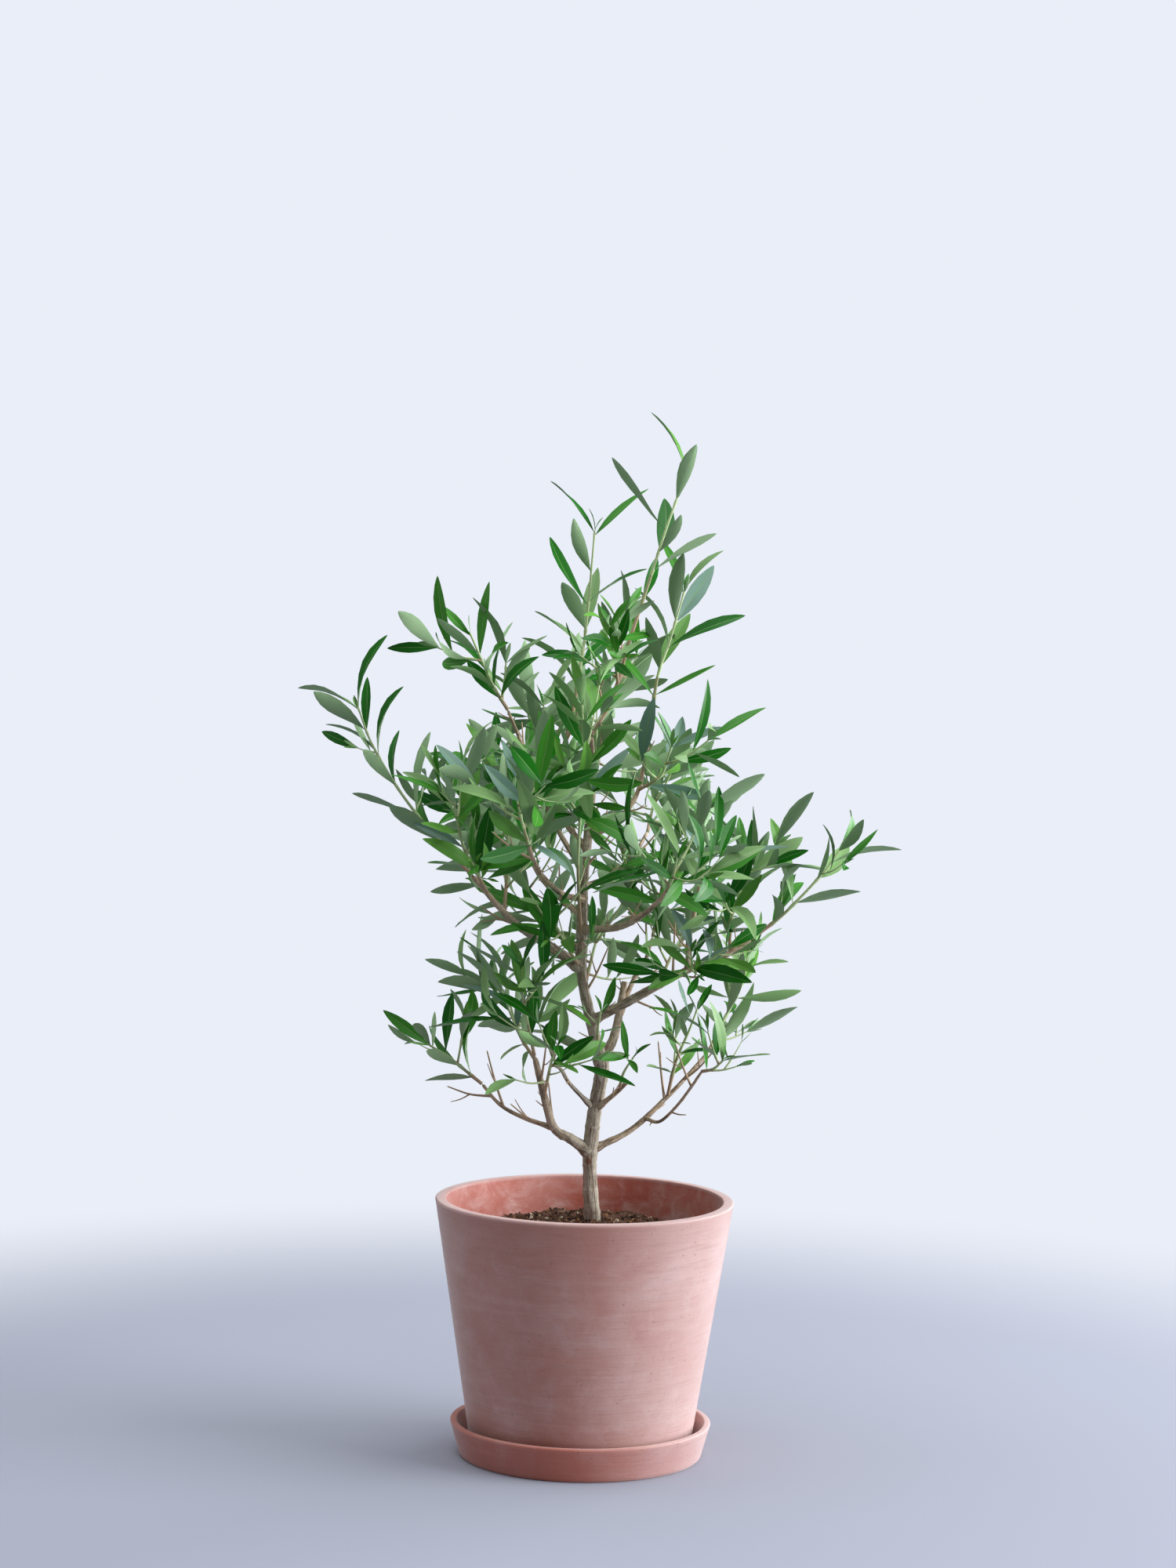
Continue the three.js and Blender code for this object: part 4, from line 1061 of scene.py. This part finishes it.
def scattered_crumbs(count, seed):
    """Loose crumbs and fibres: octahedra with uneven corners, leant, turned at random and half sunk."""
    random = np.random.default_rng(seed)
    wall = pot_radius(SOIL_EDGE_HEIGHT) - POT_WALL - CRUMB_REACH
    radius = wall * np.sqrt(random.uniform(0.004, 1, count))
    angle = random.uniform(0, TURN, count)
    size = CRUMB_SIZES[0] + CRUMB_SIZES[1] * random.uniform(0, 1, count) ** 2
    is_fibre = random.uniform(0, 1, count) < FIBRE_SHARE
    radius = np.where(is_fibre, np.minimum(radius, wall - 3), radius)
    size = np.where(is_fibre, np.minimum(size, FIBRE_SIZE), size)
    x, y = radius * np.cos(angle), radius * np.sin(angle)
    corners = OCTAHEDRON * random.uniform(0.6, 1.25, (count, 6, 1)) * size[:, None, None]
    a, b, c = np.moveaxis(corners, -1, 0)
    a = a * np.where(is_fibre, FIBRE_STRETCH, 1)[:, None]
    b = b * random.uniform(0.55, 1, (count, 1)) * np.where(is_fibre, FIBRE_NARROWING, 1)[:, None]
    c = c * random.uniform(0.5, 0.9, (count, 1))
    spin = random.uniform(0, TURN, (count, 1))
    lean = random.uniform(-0.7, 0.7, (count, 1))
    a, c = a * np.cos(lean) - c * np.sin(lean), a * np.sin(lean) + c * np.cos(lean)
    corners = np.stack([x[:, None] + a * np.cos(spin) - b * np.sin(spin),
                        y[:, None] + a * np.sin(spin) + b * np.cos(spin),
                        (soil_height(x, y) + size * 0.15)[:, None] + c], axis=-1)
    faces = (OCTAHEDRON_FACES + 6 * np.arange(count)[:, None, None]).reshape(-1, 3)
    kind = random.choice(len(CRUMB_SHARES), count, p=CRUMB_SHARES)
    kind = np.where(is_fibre & (kind < 2), kind + 2, kind)
    return corners, faces, np.repeat(kind, len(OCTAHEDRON_FACES))


class OLIVE_OT_compost(bpy.types.Operator):
    """Fills the pot with compost and strews loose crumbs on it."""
    bl_idname = "olive.compost"
    bl_label = "Compost"

    def execute(self, context):
        look = context.scene.olive_soil
        bottom = POT_FOOT + POT_FLOOR + SEAT_GAP
        wall = pot_radius(SOIL_EDGE_HEIGHT) - POT_WALL + SOIL_PRESS
        outline = [(0, bottom), (pot_radius(bottom) - POT_WALL - SEAT_GAP - POT_COVE[0], bottom),
                   (wall - 12, SOIL_EDGE_HEIGHT - 30), (wall, SOIL_EDGE_HEIGHT - 4)]
        outline += [(radius, SOIL_EDGE_HEIGHT) for radius in np.linspace(wall, 1.2, 84)]
        outline.append((0, SOIL_SEAT_HEIGHT))

        def heap(radius, height, angle):
            is_top = height > SOIL_EDGE_HEIGHT - 1
            uneven = np.random.default_rng(SEEDS["compost"]).normal(0, SOIL_GRAIN, radius.shape)
            top = soil_height(radius * np.cos(angle), radius * np.sin(angle)) + uneven
            return radius, np.where(is_top, top, height)

        shape = Shape()
        shape.add(*turned_surface(outline, TURNED_SIDES, heap))
        finish = soil_finish(opaque(look.dark), opaque(look.light))
        make_piece("compost", shape, [finish], ["soil"])
        finishes = [plain_finish(f"crumb_{i}", tint(*colour), 0.95) for i, colour in enumerate(CRUMB_TINTS)]
        corners, faces, kinds = scattered_crumbs(look.crumbs, SEEDS["crumbs"])
        crumbs = Shape()
        crumbs.add(corners, [faces], [kinds])
        make_piece("compost_crumbs", crumbs, finishes, ["soil"], smooth=False)
        return {"FINISHED"}


# Wood

# Bark in millimetres: rings and knots along a limb, and how far a cluster of leaves swells a twig
RING_SPACING = 11
KNOT_SPACING = 22
OLD_WOOD = (1.6, 5.0)
GRAIN_SHIFT = 40
TWIG_SIDES = 6
TWIG_RING_STEP = 4
NODE_SWELL = 0.28
NODE_WIDTH = 1.6
BUD_LENGTH = 3

# How far up its first wood is brown or olive: a stem, a side twig, a fine twig and an old bare twig
WOODY_SHARES = (0.34, 0.1, 0, 3)
TWIG_FINISHES = {"brown": ((172, 148, 122), 0.85), "olive": ((156, 156, 116), 0.75),
                 "young": ((176, 192, 142), 0.65)}


def bark_finish(bark, young_bark, scar):
    """Bark: grey and cracked on thick wood, browner on thin wood, with pale rings, flecks and a scar."""
    tree = new_material("bark")
    grain = tree.attribute("grain", "Vector")
    strands = tree.noise(grain, scale=900, detail=5, roughness=0.65, warp=0.3, stretch=(1, 1, 0.14))
    cracks = tree.noise(grain, scale=330, detail=4, roughness=0.6, warp=0.5, stretch=(1, 1, 0.12))
    rings = tree.noise(grain, scale=420, detail=3, roughness=0.6, warp=0.2, stretch=(0.1, 0.1, 1))
    flecks = tree.noise(grain, scale=620, detail=4, roughness=0.7, stretch=(1, 1, 0.4))
    patches = tree.noise(grain, scale=110, detail=4, roughness=0.6, warp=0.5)
    off_scar = tree.vector_maths("MULTIPLY", grain, (1, 1, 0.5))
    off_scar = tree.vector_maths("DISTANCE", off_scar, TRUNK_SCAR, "Value")
    dark = shaded(young_bark, 0.42)
    colour = tree.mix(young_bark, bark, tree.attribute("age", "Fac"))
    for shade, rows in (
            (shaded(bark, 1.6), [(rings, 0.58, 0.66, 0.6), (patches, 0.46, 0.32, 0.55)]),
            (dark, [(cracks, 0.48, 0.6, 0.8), (strands, 0.54, 0.7, 0.4)]),
            (dark, [(patches, 0.54, 0.66, 0.6), (rings, 0.42, 0.34, 0.3), (flecks, 0.54, 0.66, 0.5)]),
            (scar, [(off_scar, 0.0034, 0.0012, 0.8)])):
        colour = tree.mix(colour, shade, layers(*rows))
    height = strands * 0.6 + 1 - cracks.ramp(0.48, 0.66)
    return tree.surface(Base_Color=colour, Roughness=0.8 + 0.15 * patches, Specular_IOR_Level=0.3,
                        Normal=tree.bump(height, 0.0007))


def bell(distance, width):
    """A bell curve, exp(-(d / w)^2)."""
    return np.exp(-(distance / width) ** 2)


def bark_relief(distance, angle, random):
    """How far bark stands out, as a share of the radius, over distance along and angle round a limb.

    It sums slow swellings, upright strands of five to nine to the ring, sharp cracks (the sixth power
    of a sine), narrow rings (bell curves along the limb) and round knots. The caller adds a collar or
    knuckle at each junction."""
    phase = random.uniform(0, TURN, 12)
    sway = 0.8 * np.sin(0.05 * distance + phase[0])
    relief = (0.035 * np.sin(2 * angle + 0.04 * distance + phase[1])
              + 0.02 * np.sin(distance / 11 + phase[2]))
    for strands in range(5, 10):
        relief = relief + 0.011 * np.sin(strands * angle + phase[strands - 2] + 0.03 * distance + sway)
    crack = np.maximum(0, np.sin(4 * angle + phase[8] + 0.02 * distance + 1.6 * sway))
    relief = relief - 0.07 * crack**6 * (0.5 + 0.5 * np.sin(distance / 19 + phase[9]))
    length = distance.max()
    places = np.arange(6, length, RING_SPACING)
    for place in places + random.uniform(-3, 3, len(places)):
        relief = relief + 0.07 * bell(distance - place, 1.2)
    count = round(length / KNOT_SPACING)
    for place, bearing in random.uniform((0, -math.pi), (length, math.pi), (count, 2)):
        turn = np.angle(np.exp(1j * (angle - bearing)))
        relief = relief + 0.17 * bell(distance - place, 3.2) * bell(turn, 0.6)
    return relief


def limb_surface(limb, limbs, look, number):
    """A limb: rings of corners carried along its path, with bark relief, and closed at both ends.

    The trunk flares at its foot and swells under its fork. A limb has a collar where it leaves its
    carrier's bark, and an end that isn't sawn is rounded as the root of what is left of the limb."""
    path, share, name = limb["path"], limb["share"], limb["name"]
    length = path.length()
    random = np.random.default_rng(SEEDS["bark"] + number)
    rows = max(8, round(length / (look.ring_step / MM)))
    shares = np.linspace(0, 1, rows)
    radius = radius_at(limb["thickness"], shares)[:, None]
    angle = ring_angles(look.sides)
    distance = (shares * length)[:, None]
    relief = bark_relief(distance, angle, random)
    if limb["carrier"] is None:
        relief = relief + np.exp(-distance / 7) * (0.1 * np.sin(3 * angle + 0.6) - 0.03)
        relief = relief + 0.2 * bell(distance - 0.93 * length, 8)
    elif share < 1:
        bark = radius_at(limbs[limb["carrier"]]["thickness"], share)
        relief = relief + 0.42 * bell(distance - bark * 0.9, 0.8 * radius[0, 0] + 1.5)
    if name not in CUT_LIMBS:
        radius = radius * np.sqrt(np.clip((length - distance) / (1.2 * radius[-1, 0]), 0.03, 1))
    reach = radius * (1 + relief)
    corners, (quads, ends) = tube_surface(path.frames(shares), reach, angle, -0.5, 0.2)
    grain = turned_rings(reach, distance + GRAIN_SHIFT * number + 0 * angle, angle)
    grain = np.concatenate([grain[0, :1], grain.reshape(-1, 3), grain[-1, :1]]) * MM
    age = smooth_step(np.repeat(radius, look.sides, axis=1), *OLD_WOOD).ravel()
    age = np.concatenate([age[:1], age, age[-1:]])
    if name in DRY_LIMBS:
        age = np.ones_like(age)
    is_cut = (np.arange(len(ends)) >= look.sides) & (name in CUT_LIMBS)
    return corners, (quads, ends), (0, is_cut), grain, age


class OLIVE_OT_boughs(bpy.types.Operator):
    """Grows the trunk and boughs with their bark."""
    bl_idname = "olive.boughs"
    bl_label = "Trunk and boughs"

    def execute(self, context):
        look = context.scene.olive_wood
        limbs = grow_limbs()
        shape = Shape()
        grains, ages = [], []
        for number, limb in enumerate(limbs.values()):
            *surface, grain, age = limb_surface(limb, limbs, look, number)
            shape.add(*surface)
            grains.append(grain)
            ages.append(age)
        finishes = [bark_finish(opaque(look.bark), opaque(look.young_bark), opaque(look.scar)),
                    plain_finish("cut_wood", opaque(look.cut_wood), 0.8)]
        attributes = {"grain": ("FLOAT_VECTOR", np.concatenate(grains)),
                      "age": ("FLOAT", np.concatenate(ages))}
        make_piece("trunk_and_boughs", shape, finishes, list(limbs), attributes=attributes)
        return {"FINISHED"}


def twig_surface(shoot):
    """A shoot: a slim tapering tube with a small swelling at each pair of leaves and a pointed bud."""
    path = shoot["path"]
    length = path.length()
    shares = np.linspace(0, 1, max(5, round(length / TWIG_RING_STEP)))
    radius = shoot["radius"] * (TWIG_SWELL - TWIG_TAPER * shares)
    for share in np.unique(shoot["leaves"][:, 14].round(2)):
        radius = radius * (1 + NODE_SWELL * bell((shares - share) * length, NODE_WIDTH))
    corners, faces = tube_surface(path.frames(shares), radius[:, None], ring_angles(TWIG_SIDES),
                                  0, radius[-1] * BUD_LENGTH)
    woody = WOODY_SHARES[shoot["order"]]
    kind = np.where(shares[:-1] < woody / 2, 0, np.where(shares[:-1] < woody, 1, 2))
    return corners, faces, (np.repeat(kind, TWIG_SIDES), 2)


class OLIVE_OT_twigs(bpy.types.Operator):
    """Grows the stems and twigs that carry the leaves."""
    bl_idname = "olive.twigs"
    bl_label = "Twigs"

    def execute(self, context):
        shape = Shape()
        crown = grow_crown(context.scene.olive_foliage.fine_twigs)
        for shoot in sum(crown, []) + bare_twigs(grow_limbs()):
            shape.add(*twig_surface(shoot))
        finishes = [plain_finish(f"twig_{name}", tint(*colour), roughness)
                    for name, (colour, roughness) in TWIG_FINISHES.items()]
        make_piece("twigs", shape, finishes, MASS_NAMES)
        return {"FINISHED"}


# Leaves

# Rings of a leaf from stalk to tip, and corners across its upper side. Each ring also has a keel
LEAF_STATIONS = np.array([0.06, 0.13, 0.25, 0.41, 0.58, 0.75, 0.89, 0.965])
LEAF_COLUMNS = np.array([1.0, 0.55, 0.035, -0.035, -0.55, -1.0])
LEAF_RING = len(LEAF_COLUMNS) + 1
MIDRIB_STRIP = 2
UNDER_STRIPS = 5
LEAF_STALK = 0.05
LEAF_STALK_RADIUS = 0.55
LEAF_DROOP = 0.24
LEAF_THINNESS = 95

# Least and most bow, twist, sideways bend and fold, in the order of their draws
LEAF_BENDS = ((-0.04, 0.13), (-1.1, 1.1), (-0.05, 0.05), (0.3, 0.62))
TIP_LEAF_OPENINGS = (0.25, 0.5)
TIP_LEAF_LENGTHS = (12, 22)
TIP_LEAF_SLENDERNESS = 5

# The leaves' upper sides, with each one's weight in a spray, roughness, gloss and underside, and the
# undersides as shades of silver. A finish is numbered by its place among them all
UPPER_SIDES = {"deep": (3.4, 0.44, 0.2, "shaded"), "mid": (3.2, 0.46, 0.25, "silver"),
               "grey": (2.4, 0.52, 0.35, "silver"), "bright": (1.2, 0.46, 0.3, "young"),
               "blue": (0.8, 0.48, 0.35, "silver")}
UNDERSIDES = {"silver": 1, "shaded": 0.78, "young": (0.85, 0.98, 0.72)}
NUMBER = {name: place for place, name in enumerate([*UPPER_SIDES, *UNDERSIDES, "midrib"])}


def leaf_surfaces(leaves, curl, twist, sickle, fold):
    """All leaves at once. At a share t of its blade a leaf is W/2 sin(pi t^1.12)^0.76 wide to each side.

    Its upper side dips to the midrib and bends down at its edges, w (fold |v| - 0.24 v^2) over the
    share v of the way across. Its underside runs from edge to edge over a keel. The leaf bows by
    4 t (1 - t) times its curl, bends to one side by 4 t (1 - t) times its sickle, and turns about
    its own line by its twist."""
    root, along, side, up = (leaves[:, None, i:i + 3] for i in (0, 3, 6, 9))
    length, width, curl, twist, sickle, fold = (
        each[:, None] for each in (leaves[:, 12], leaves[:, 13], curl, twist, sickle, fold))
    t = LEAF_STATIONS
    blade = np.clip((t - LEAF_STALK) / (1 - LEAF_STALK), 0, 1)
    half = np.maximum(width / 2 * np.sin(math.pi * blade**1.12) ** 0.76, LEAF_STALK_RADIUS)
    arch = 4 * t * (1 - t) * length
    reach = t * length - LEAF_ROOT_SINK * (1 - t)
    centre = root + along * reach[..., None] + up * (arch * curl)[..., None]
    centre = centre + side * (arch * sickle)[..., None]
    cosine, sine = np.cos(twist * (t - 0.3))[..., None], np.sin(twist * (t - 0.3))[..., None]
    turned_side = side * cosine + up * sine
    turned_up = up * cosine - side * sine
    rise = fold[..., None] * np.abs(LEAF_COLUMNS) - LEAF_DROOP * LEAF_COLUMNS**2
    upper = centre[:, :, None] + (half[..., None] * LEAF_COLUMNS)[..., None] * turned_side[:, :, None]
    upper = upper + (half[..., None] * rise)[..., None] * turned_up[:, :, None]
    depth = length / LEAF_THINNESS * np.clip(half / (width * 0.3), 0.6, 1)
    keel = centre - turned_up * depth[..., None]
    rings = np.concatenate([upper, keel[:, :, None]], axis=2).reshape(len(leaves), -1, 3)
    return np.concatenate([root - along * LEAF_ROOT_SINK, rings, root + along * length[..., None]], axis=1)


class OLIVE_OT_leaves(bpy.types.Operator):
    """Grows the leaves and deals out their colours by spray."""
    bl_idname = "olive.leaves"
    bl_label = "Leaves"

    def execute(self, context):
        look = context.scene.olive_foliage
        random = np.random.default_rng(SEEDS["leaves"])
        rows, dealt = [], []
        for shoots in grow_crown(look.fine_twigs):
            weights = random.dirichlet([row[0] for row in UPPER_SIDES.values()])
            for shoot in shoots:
                leaves = shoot["leaves"]
                dealt.append(random.choice(len(weights), len(leaves), p=weights))
                tips = tip_leaves(shoot, random)
                dealt.append(np.full(len(tips), random.choice((NUMBER["mid"], NUMBER["bright"]))))
                rows += [leaves, tips]
        leaves = np.concatenate(rows)
        upper = np.concatenate(dealt)
        bends = [random.uniform(*span, len(leaves)) for span in LEAF_BENDS]
        corners = leaf_surfaces(leaves, *bends)
        quads, ends = closed_tube_faces(len(LEAF_STATIONS), LEAF_RING)
        strips = np.arange(LEAF_RING)
        under = np.array([NUMBER[row[-1]] for row in UPPER_SIDES.values()])[upper]
        finish = np.where(strips == MIDRIB_STRIP, NUMBER["midrib"], upper[:, None])
        finish = np.where(strips >= UNDER_STRIPS, under[:, None], finish)
        offsets = corners.shape[1] * np.arange(len(leaves))[:, None, None]
        shape = Shape()
        shape.add(corners, [(quads + offsets).reshape(-1, 4), (ends + offsets).reshape(-1, 3)],
                  [np.tile(finish, (1, count)).ravel() for count in (len(LEAF_STATIONS) - 1, 2)])
        silver = np.array(look.silver)
        finishes = [plain_finish(f"leaf_{name}", opaque(getattr(look, name)), roughness, gloss)
                    for name, (_, roughness, gloss, _) in UPPER_SIDES.items()]
        finishes += [plain_finish(f"leaf_under_{name}", opaque(silver * shade), 0.75, 0.2)
                     for name, shade in UNDERSIDES.items()]
        finishes.append(plain_finish("leaf_midrib", opaque(look.midrib), 0.55))
        corner = np.arange(corners.shape[1])
        is_edge = np.isin((corner - 1) % LEAF_RING, (0, LEAF_RING - 2)) | np.isin(corner, (0, corner[-1]))
        make_piece("leaves", shape, finishes, MASS_NAMES, is_rim=np.tile(is_edge, len(leaves)))
        return {"FINISHED"}


def tip_leaves(shoot, random):
    """Two small young leaves that stand close together at the tip of a shoot."""
    tip, along, one, two = shoot["path"].frames(1)
    rows = []
    roll = random.uniform(0, math.pi)
    for half in range(2):
        outward = one * math.cos(roll + half * math.pi) + two * math.sin(roll + half * math.pi)
        open_angle = random.uniform(*TIP_LEAF_OPENINGS)
        heading = unit(along * math.cos(open_angle) + outward * math.sin(open_angle))
        up = unit(along * math.sin(open_angle) - outward * math.cos(open_angle))
        length = random.uniform(*TIP_LEAF_LENGTHS) * (1 if shoot["order"] < 2 else 0.7)
        rows.append(np.concatenate([tip, heading, np.cross(up, heading), up,
                                    [length, length / TIP_LEAF_SLENDERNESS, 1.0]]))
    return np.array(rows)


# Stage

# Each soft light: name, place, the point that it faces, its width and height, in metres
LIGHTS = [
    ("key", (3.25, -0.72, 1.4), (0, 0, 0.4), 2.8, 2.8),
    ("top", (-0.2, -0.1, 2.5), (0, 0, 0), 2.2, 2.2),
    ("wall", (2.1, 1.7, 0.75), (0, 0, 0.3), 2.2, 1.4),
    ("left", (-2.8, -0.2, 1.2), (0, 0, 0.3), 2.4, 2.0),
]
LIGHT_COLOUR = (0.95, 0.98, 1.0)
FLOOR_RINGS = 24
FLOOR_SIDES = 96
FLOOR_REACH = (0.05, 1.3)
FLOOR_FADE = (1.25, 0.6)


class OLIVE_OT_stage(bpy.types.Operator):
    """Sets the camera, the soft light, the pale floor and the backdrop."""
    bl_idname = "olive.stage"
    bl_label = "Stage"

    def execute(self, context):
        look = context.scene.olive_stage
        place_camera(context.scene)
        for name, place, target, width, height in LIGHTS:
            add_light(f"{name}_light", place, target, width, height, getattr(look, f"{name}_power"))
        lay_floor(opaque(look.floor))
        hang_backdrop(context.scene, opaque(look.backdrop), look.fill)
        context.scene.view_settings.view_transform = "Standard"
        return {"FINISHED"}


def place_camera(scene):
    """The photograph's camera: its right, up and backward directions as columns of a matrix."""
    heading = Vector((math.sin(CAMERA_HEADING), math.cos(CAMERA_HEADING), 0))
    right = Vector((math.cos(CAMERA_HEADING), -math.sin(CAMERA_HEADING), 0))
    up = Vector((0, 0, 1))
    forward = heading * math.cos(CAMERA_DIP) - up * math.sin(CAMERA_DIP)
    upright = up * math.cos(CAMERA_DIP) + heading * math.sin(CAMERA_DIP)
    rolled_right = right * math.cos(CAMERA_ROLL) + upright * math.sin(CAMERA_ROLL)
    rolled_up = upright * math.cos(CAMERA_ROLL) - right * math.sin(CAMERA_ROLL)
    data = bpy.data.cameras.new("photo_camera")
    data.lens = CAMERA_LENS
    data.sensor_width = CAMERA_SENSOR
    data.clip_end = 50
    matrix = Matrix((rolled_right, rolled_up, -forward)).transposed().to_4x4()
    matrix.translation = (0, -CAMERA_DISTANCE, CAMERA_HEIGHT)
    scene.camera = add_object("photo_camera", data)
    scene.camera.matrix_world = matrix


def add_light(name, place, target, width, height, power):
    """A soft rectangular light that faces a point."""
    data = bpy.data.lights.new(name, "AREA")
    data.shape = "RECTANGLE"
    data.size, data.size_y = width, height
    data.energy = power
    data.color = LIGHT_COLOUR
    light = add_object(name, data)
    light.location = place
    light.rotation_euler = (Vector(target) - Vector(place)).to_track_quat("-Z", "Y").to_euler()
    light.visible_camera = False


def lay_floor(colour):
    """A round floor whose edge melts into the backdrop."""
    radius = np.linspace(*FLOOR_REACH, FLOOR_RINGS)[:, None]
    rings = turned_rings(radius, np.zeros((FLOOR_RINGS, FLOOR_SIDES)), ring_angles(FLOOR_SIDES))
    corners = np.concatenate([[[0, 0, 0]], rings.reshape(-1, 3)])
    quads, ends = closed_tube_faces(FLOOR_RINGS, FLOOR_SIDES)
    mesh = bpy.data.meshes.new("floor")
    mesh.from_pydata(corners.tolist(), [], quads[:, ::-1].tolist() + ends[:FLOOR_SIDES, ::-1].tolist())
    tree = new_material("floor")
    x, y, _ = tree.parts(tree.place())
    reach = (x * x + y * y) ** 0.5
    mesh.materials.append(tree.surface(Base_Color=colour, Roughness=1.0, Specular_IOR_Level=0.1,
                                       Alpha=reach.ramp(*FLOOR_FADE)))
    floor = add_object("floor", mesh)


def hang_backdrop(scene, colour, fill):
    """A plain backdrop, and a weaker light of the same colour from all round."""
    scene.world = bpy.data.worlds.new("backdrop")
    tree = Tree(scene.world)
    seen = tree.node("ShaderNodeBackground", None, {"Color": colour, "Strength": 1.0})
    lit = tree.node("ShaderNodeBackground", None, {"Color": colour, "Strength": fill})
    camera_ray = tree.node("ShaderNodeLightPath", None, None, "Is Camera Ray")
    both = tree.node("ShaderNodeMixShader", None, {0: camera_ray, 1: lit, 2: seen})
    tree.node("ShaderNodeOutputWorld", None, {"Surface": both})


class OLIVE_PT_panel(bpy.types.Panel):
    """Lists the settings and pieces of the olive tree."""
    bl_label = "Olive Tree"
    bl_idname = "OLIVE_PT_panel"
    bl_space_type = "VIEW_3D"
    bl_region_type = "UI"
    bl_category = "Olive Tree"

    def draw(self, context):
        for key, (_, *operators) in GROUPS.items():
            box = self.layout.box()
            group = getattr(context.scene, key)
            for name in group.__annotations__:
                box.prop(group, name)
            for operator in operators:
                box.operator(operator.bl_idname)


# Each group of settings, and the operators that read it
GROUPS = {
    "olive_pot": (OlivePotSettings, OLIVE_OT_saucer, OLIVE_OT_pot),
    "olive_soil": (OliveSoilSettings, OLIVE_OT_compost),
    "olive_wood": (OliveWoodSettings, OLIVE_OT_boughs),
    "olive_foliage": (OliveFoliageSettings, OLIVE_OT_twigs, OLIVE_OT_leaves),
    "olive_stage": (OliveStageSettings, OLIVE_OT_stage),
}
CLASSES = [each for group in GROUPS.values() for each in group] + [OLIVE_PT_panel]


def register():
    for each in CLASSES:
        bpy.utils.register_class(each)
    for key, (settings, *_) in GROUPS.items():
        setattr(bpy.types.Scene, key, PointerProperty(type=settings))


def unregister():
    for key in GROUPS:
        delattr(bpy.types.Scene, key)
    for each in reversed(CLASSES):
        bpy.utils.unregister_class(each)


def main():
    register()
    bpy.ops.olive.stage()
    bpy.ops.olive.saucer()
    bpy.ops.olive.pot()
    bpy.ops.olive.compost()
    bpy.ops.olive.boughs()
    bpy.ops.olive.twigs()
    bpy.ops.olive.leaves()


if __name__ == "__main__":
    main()
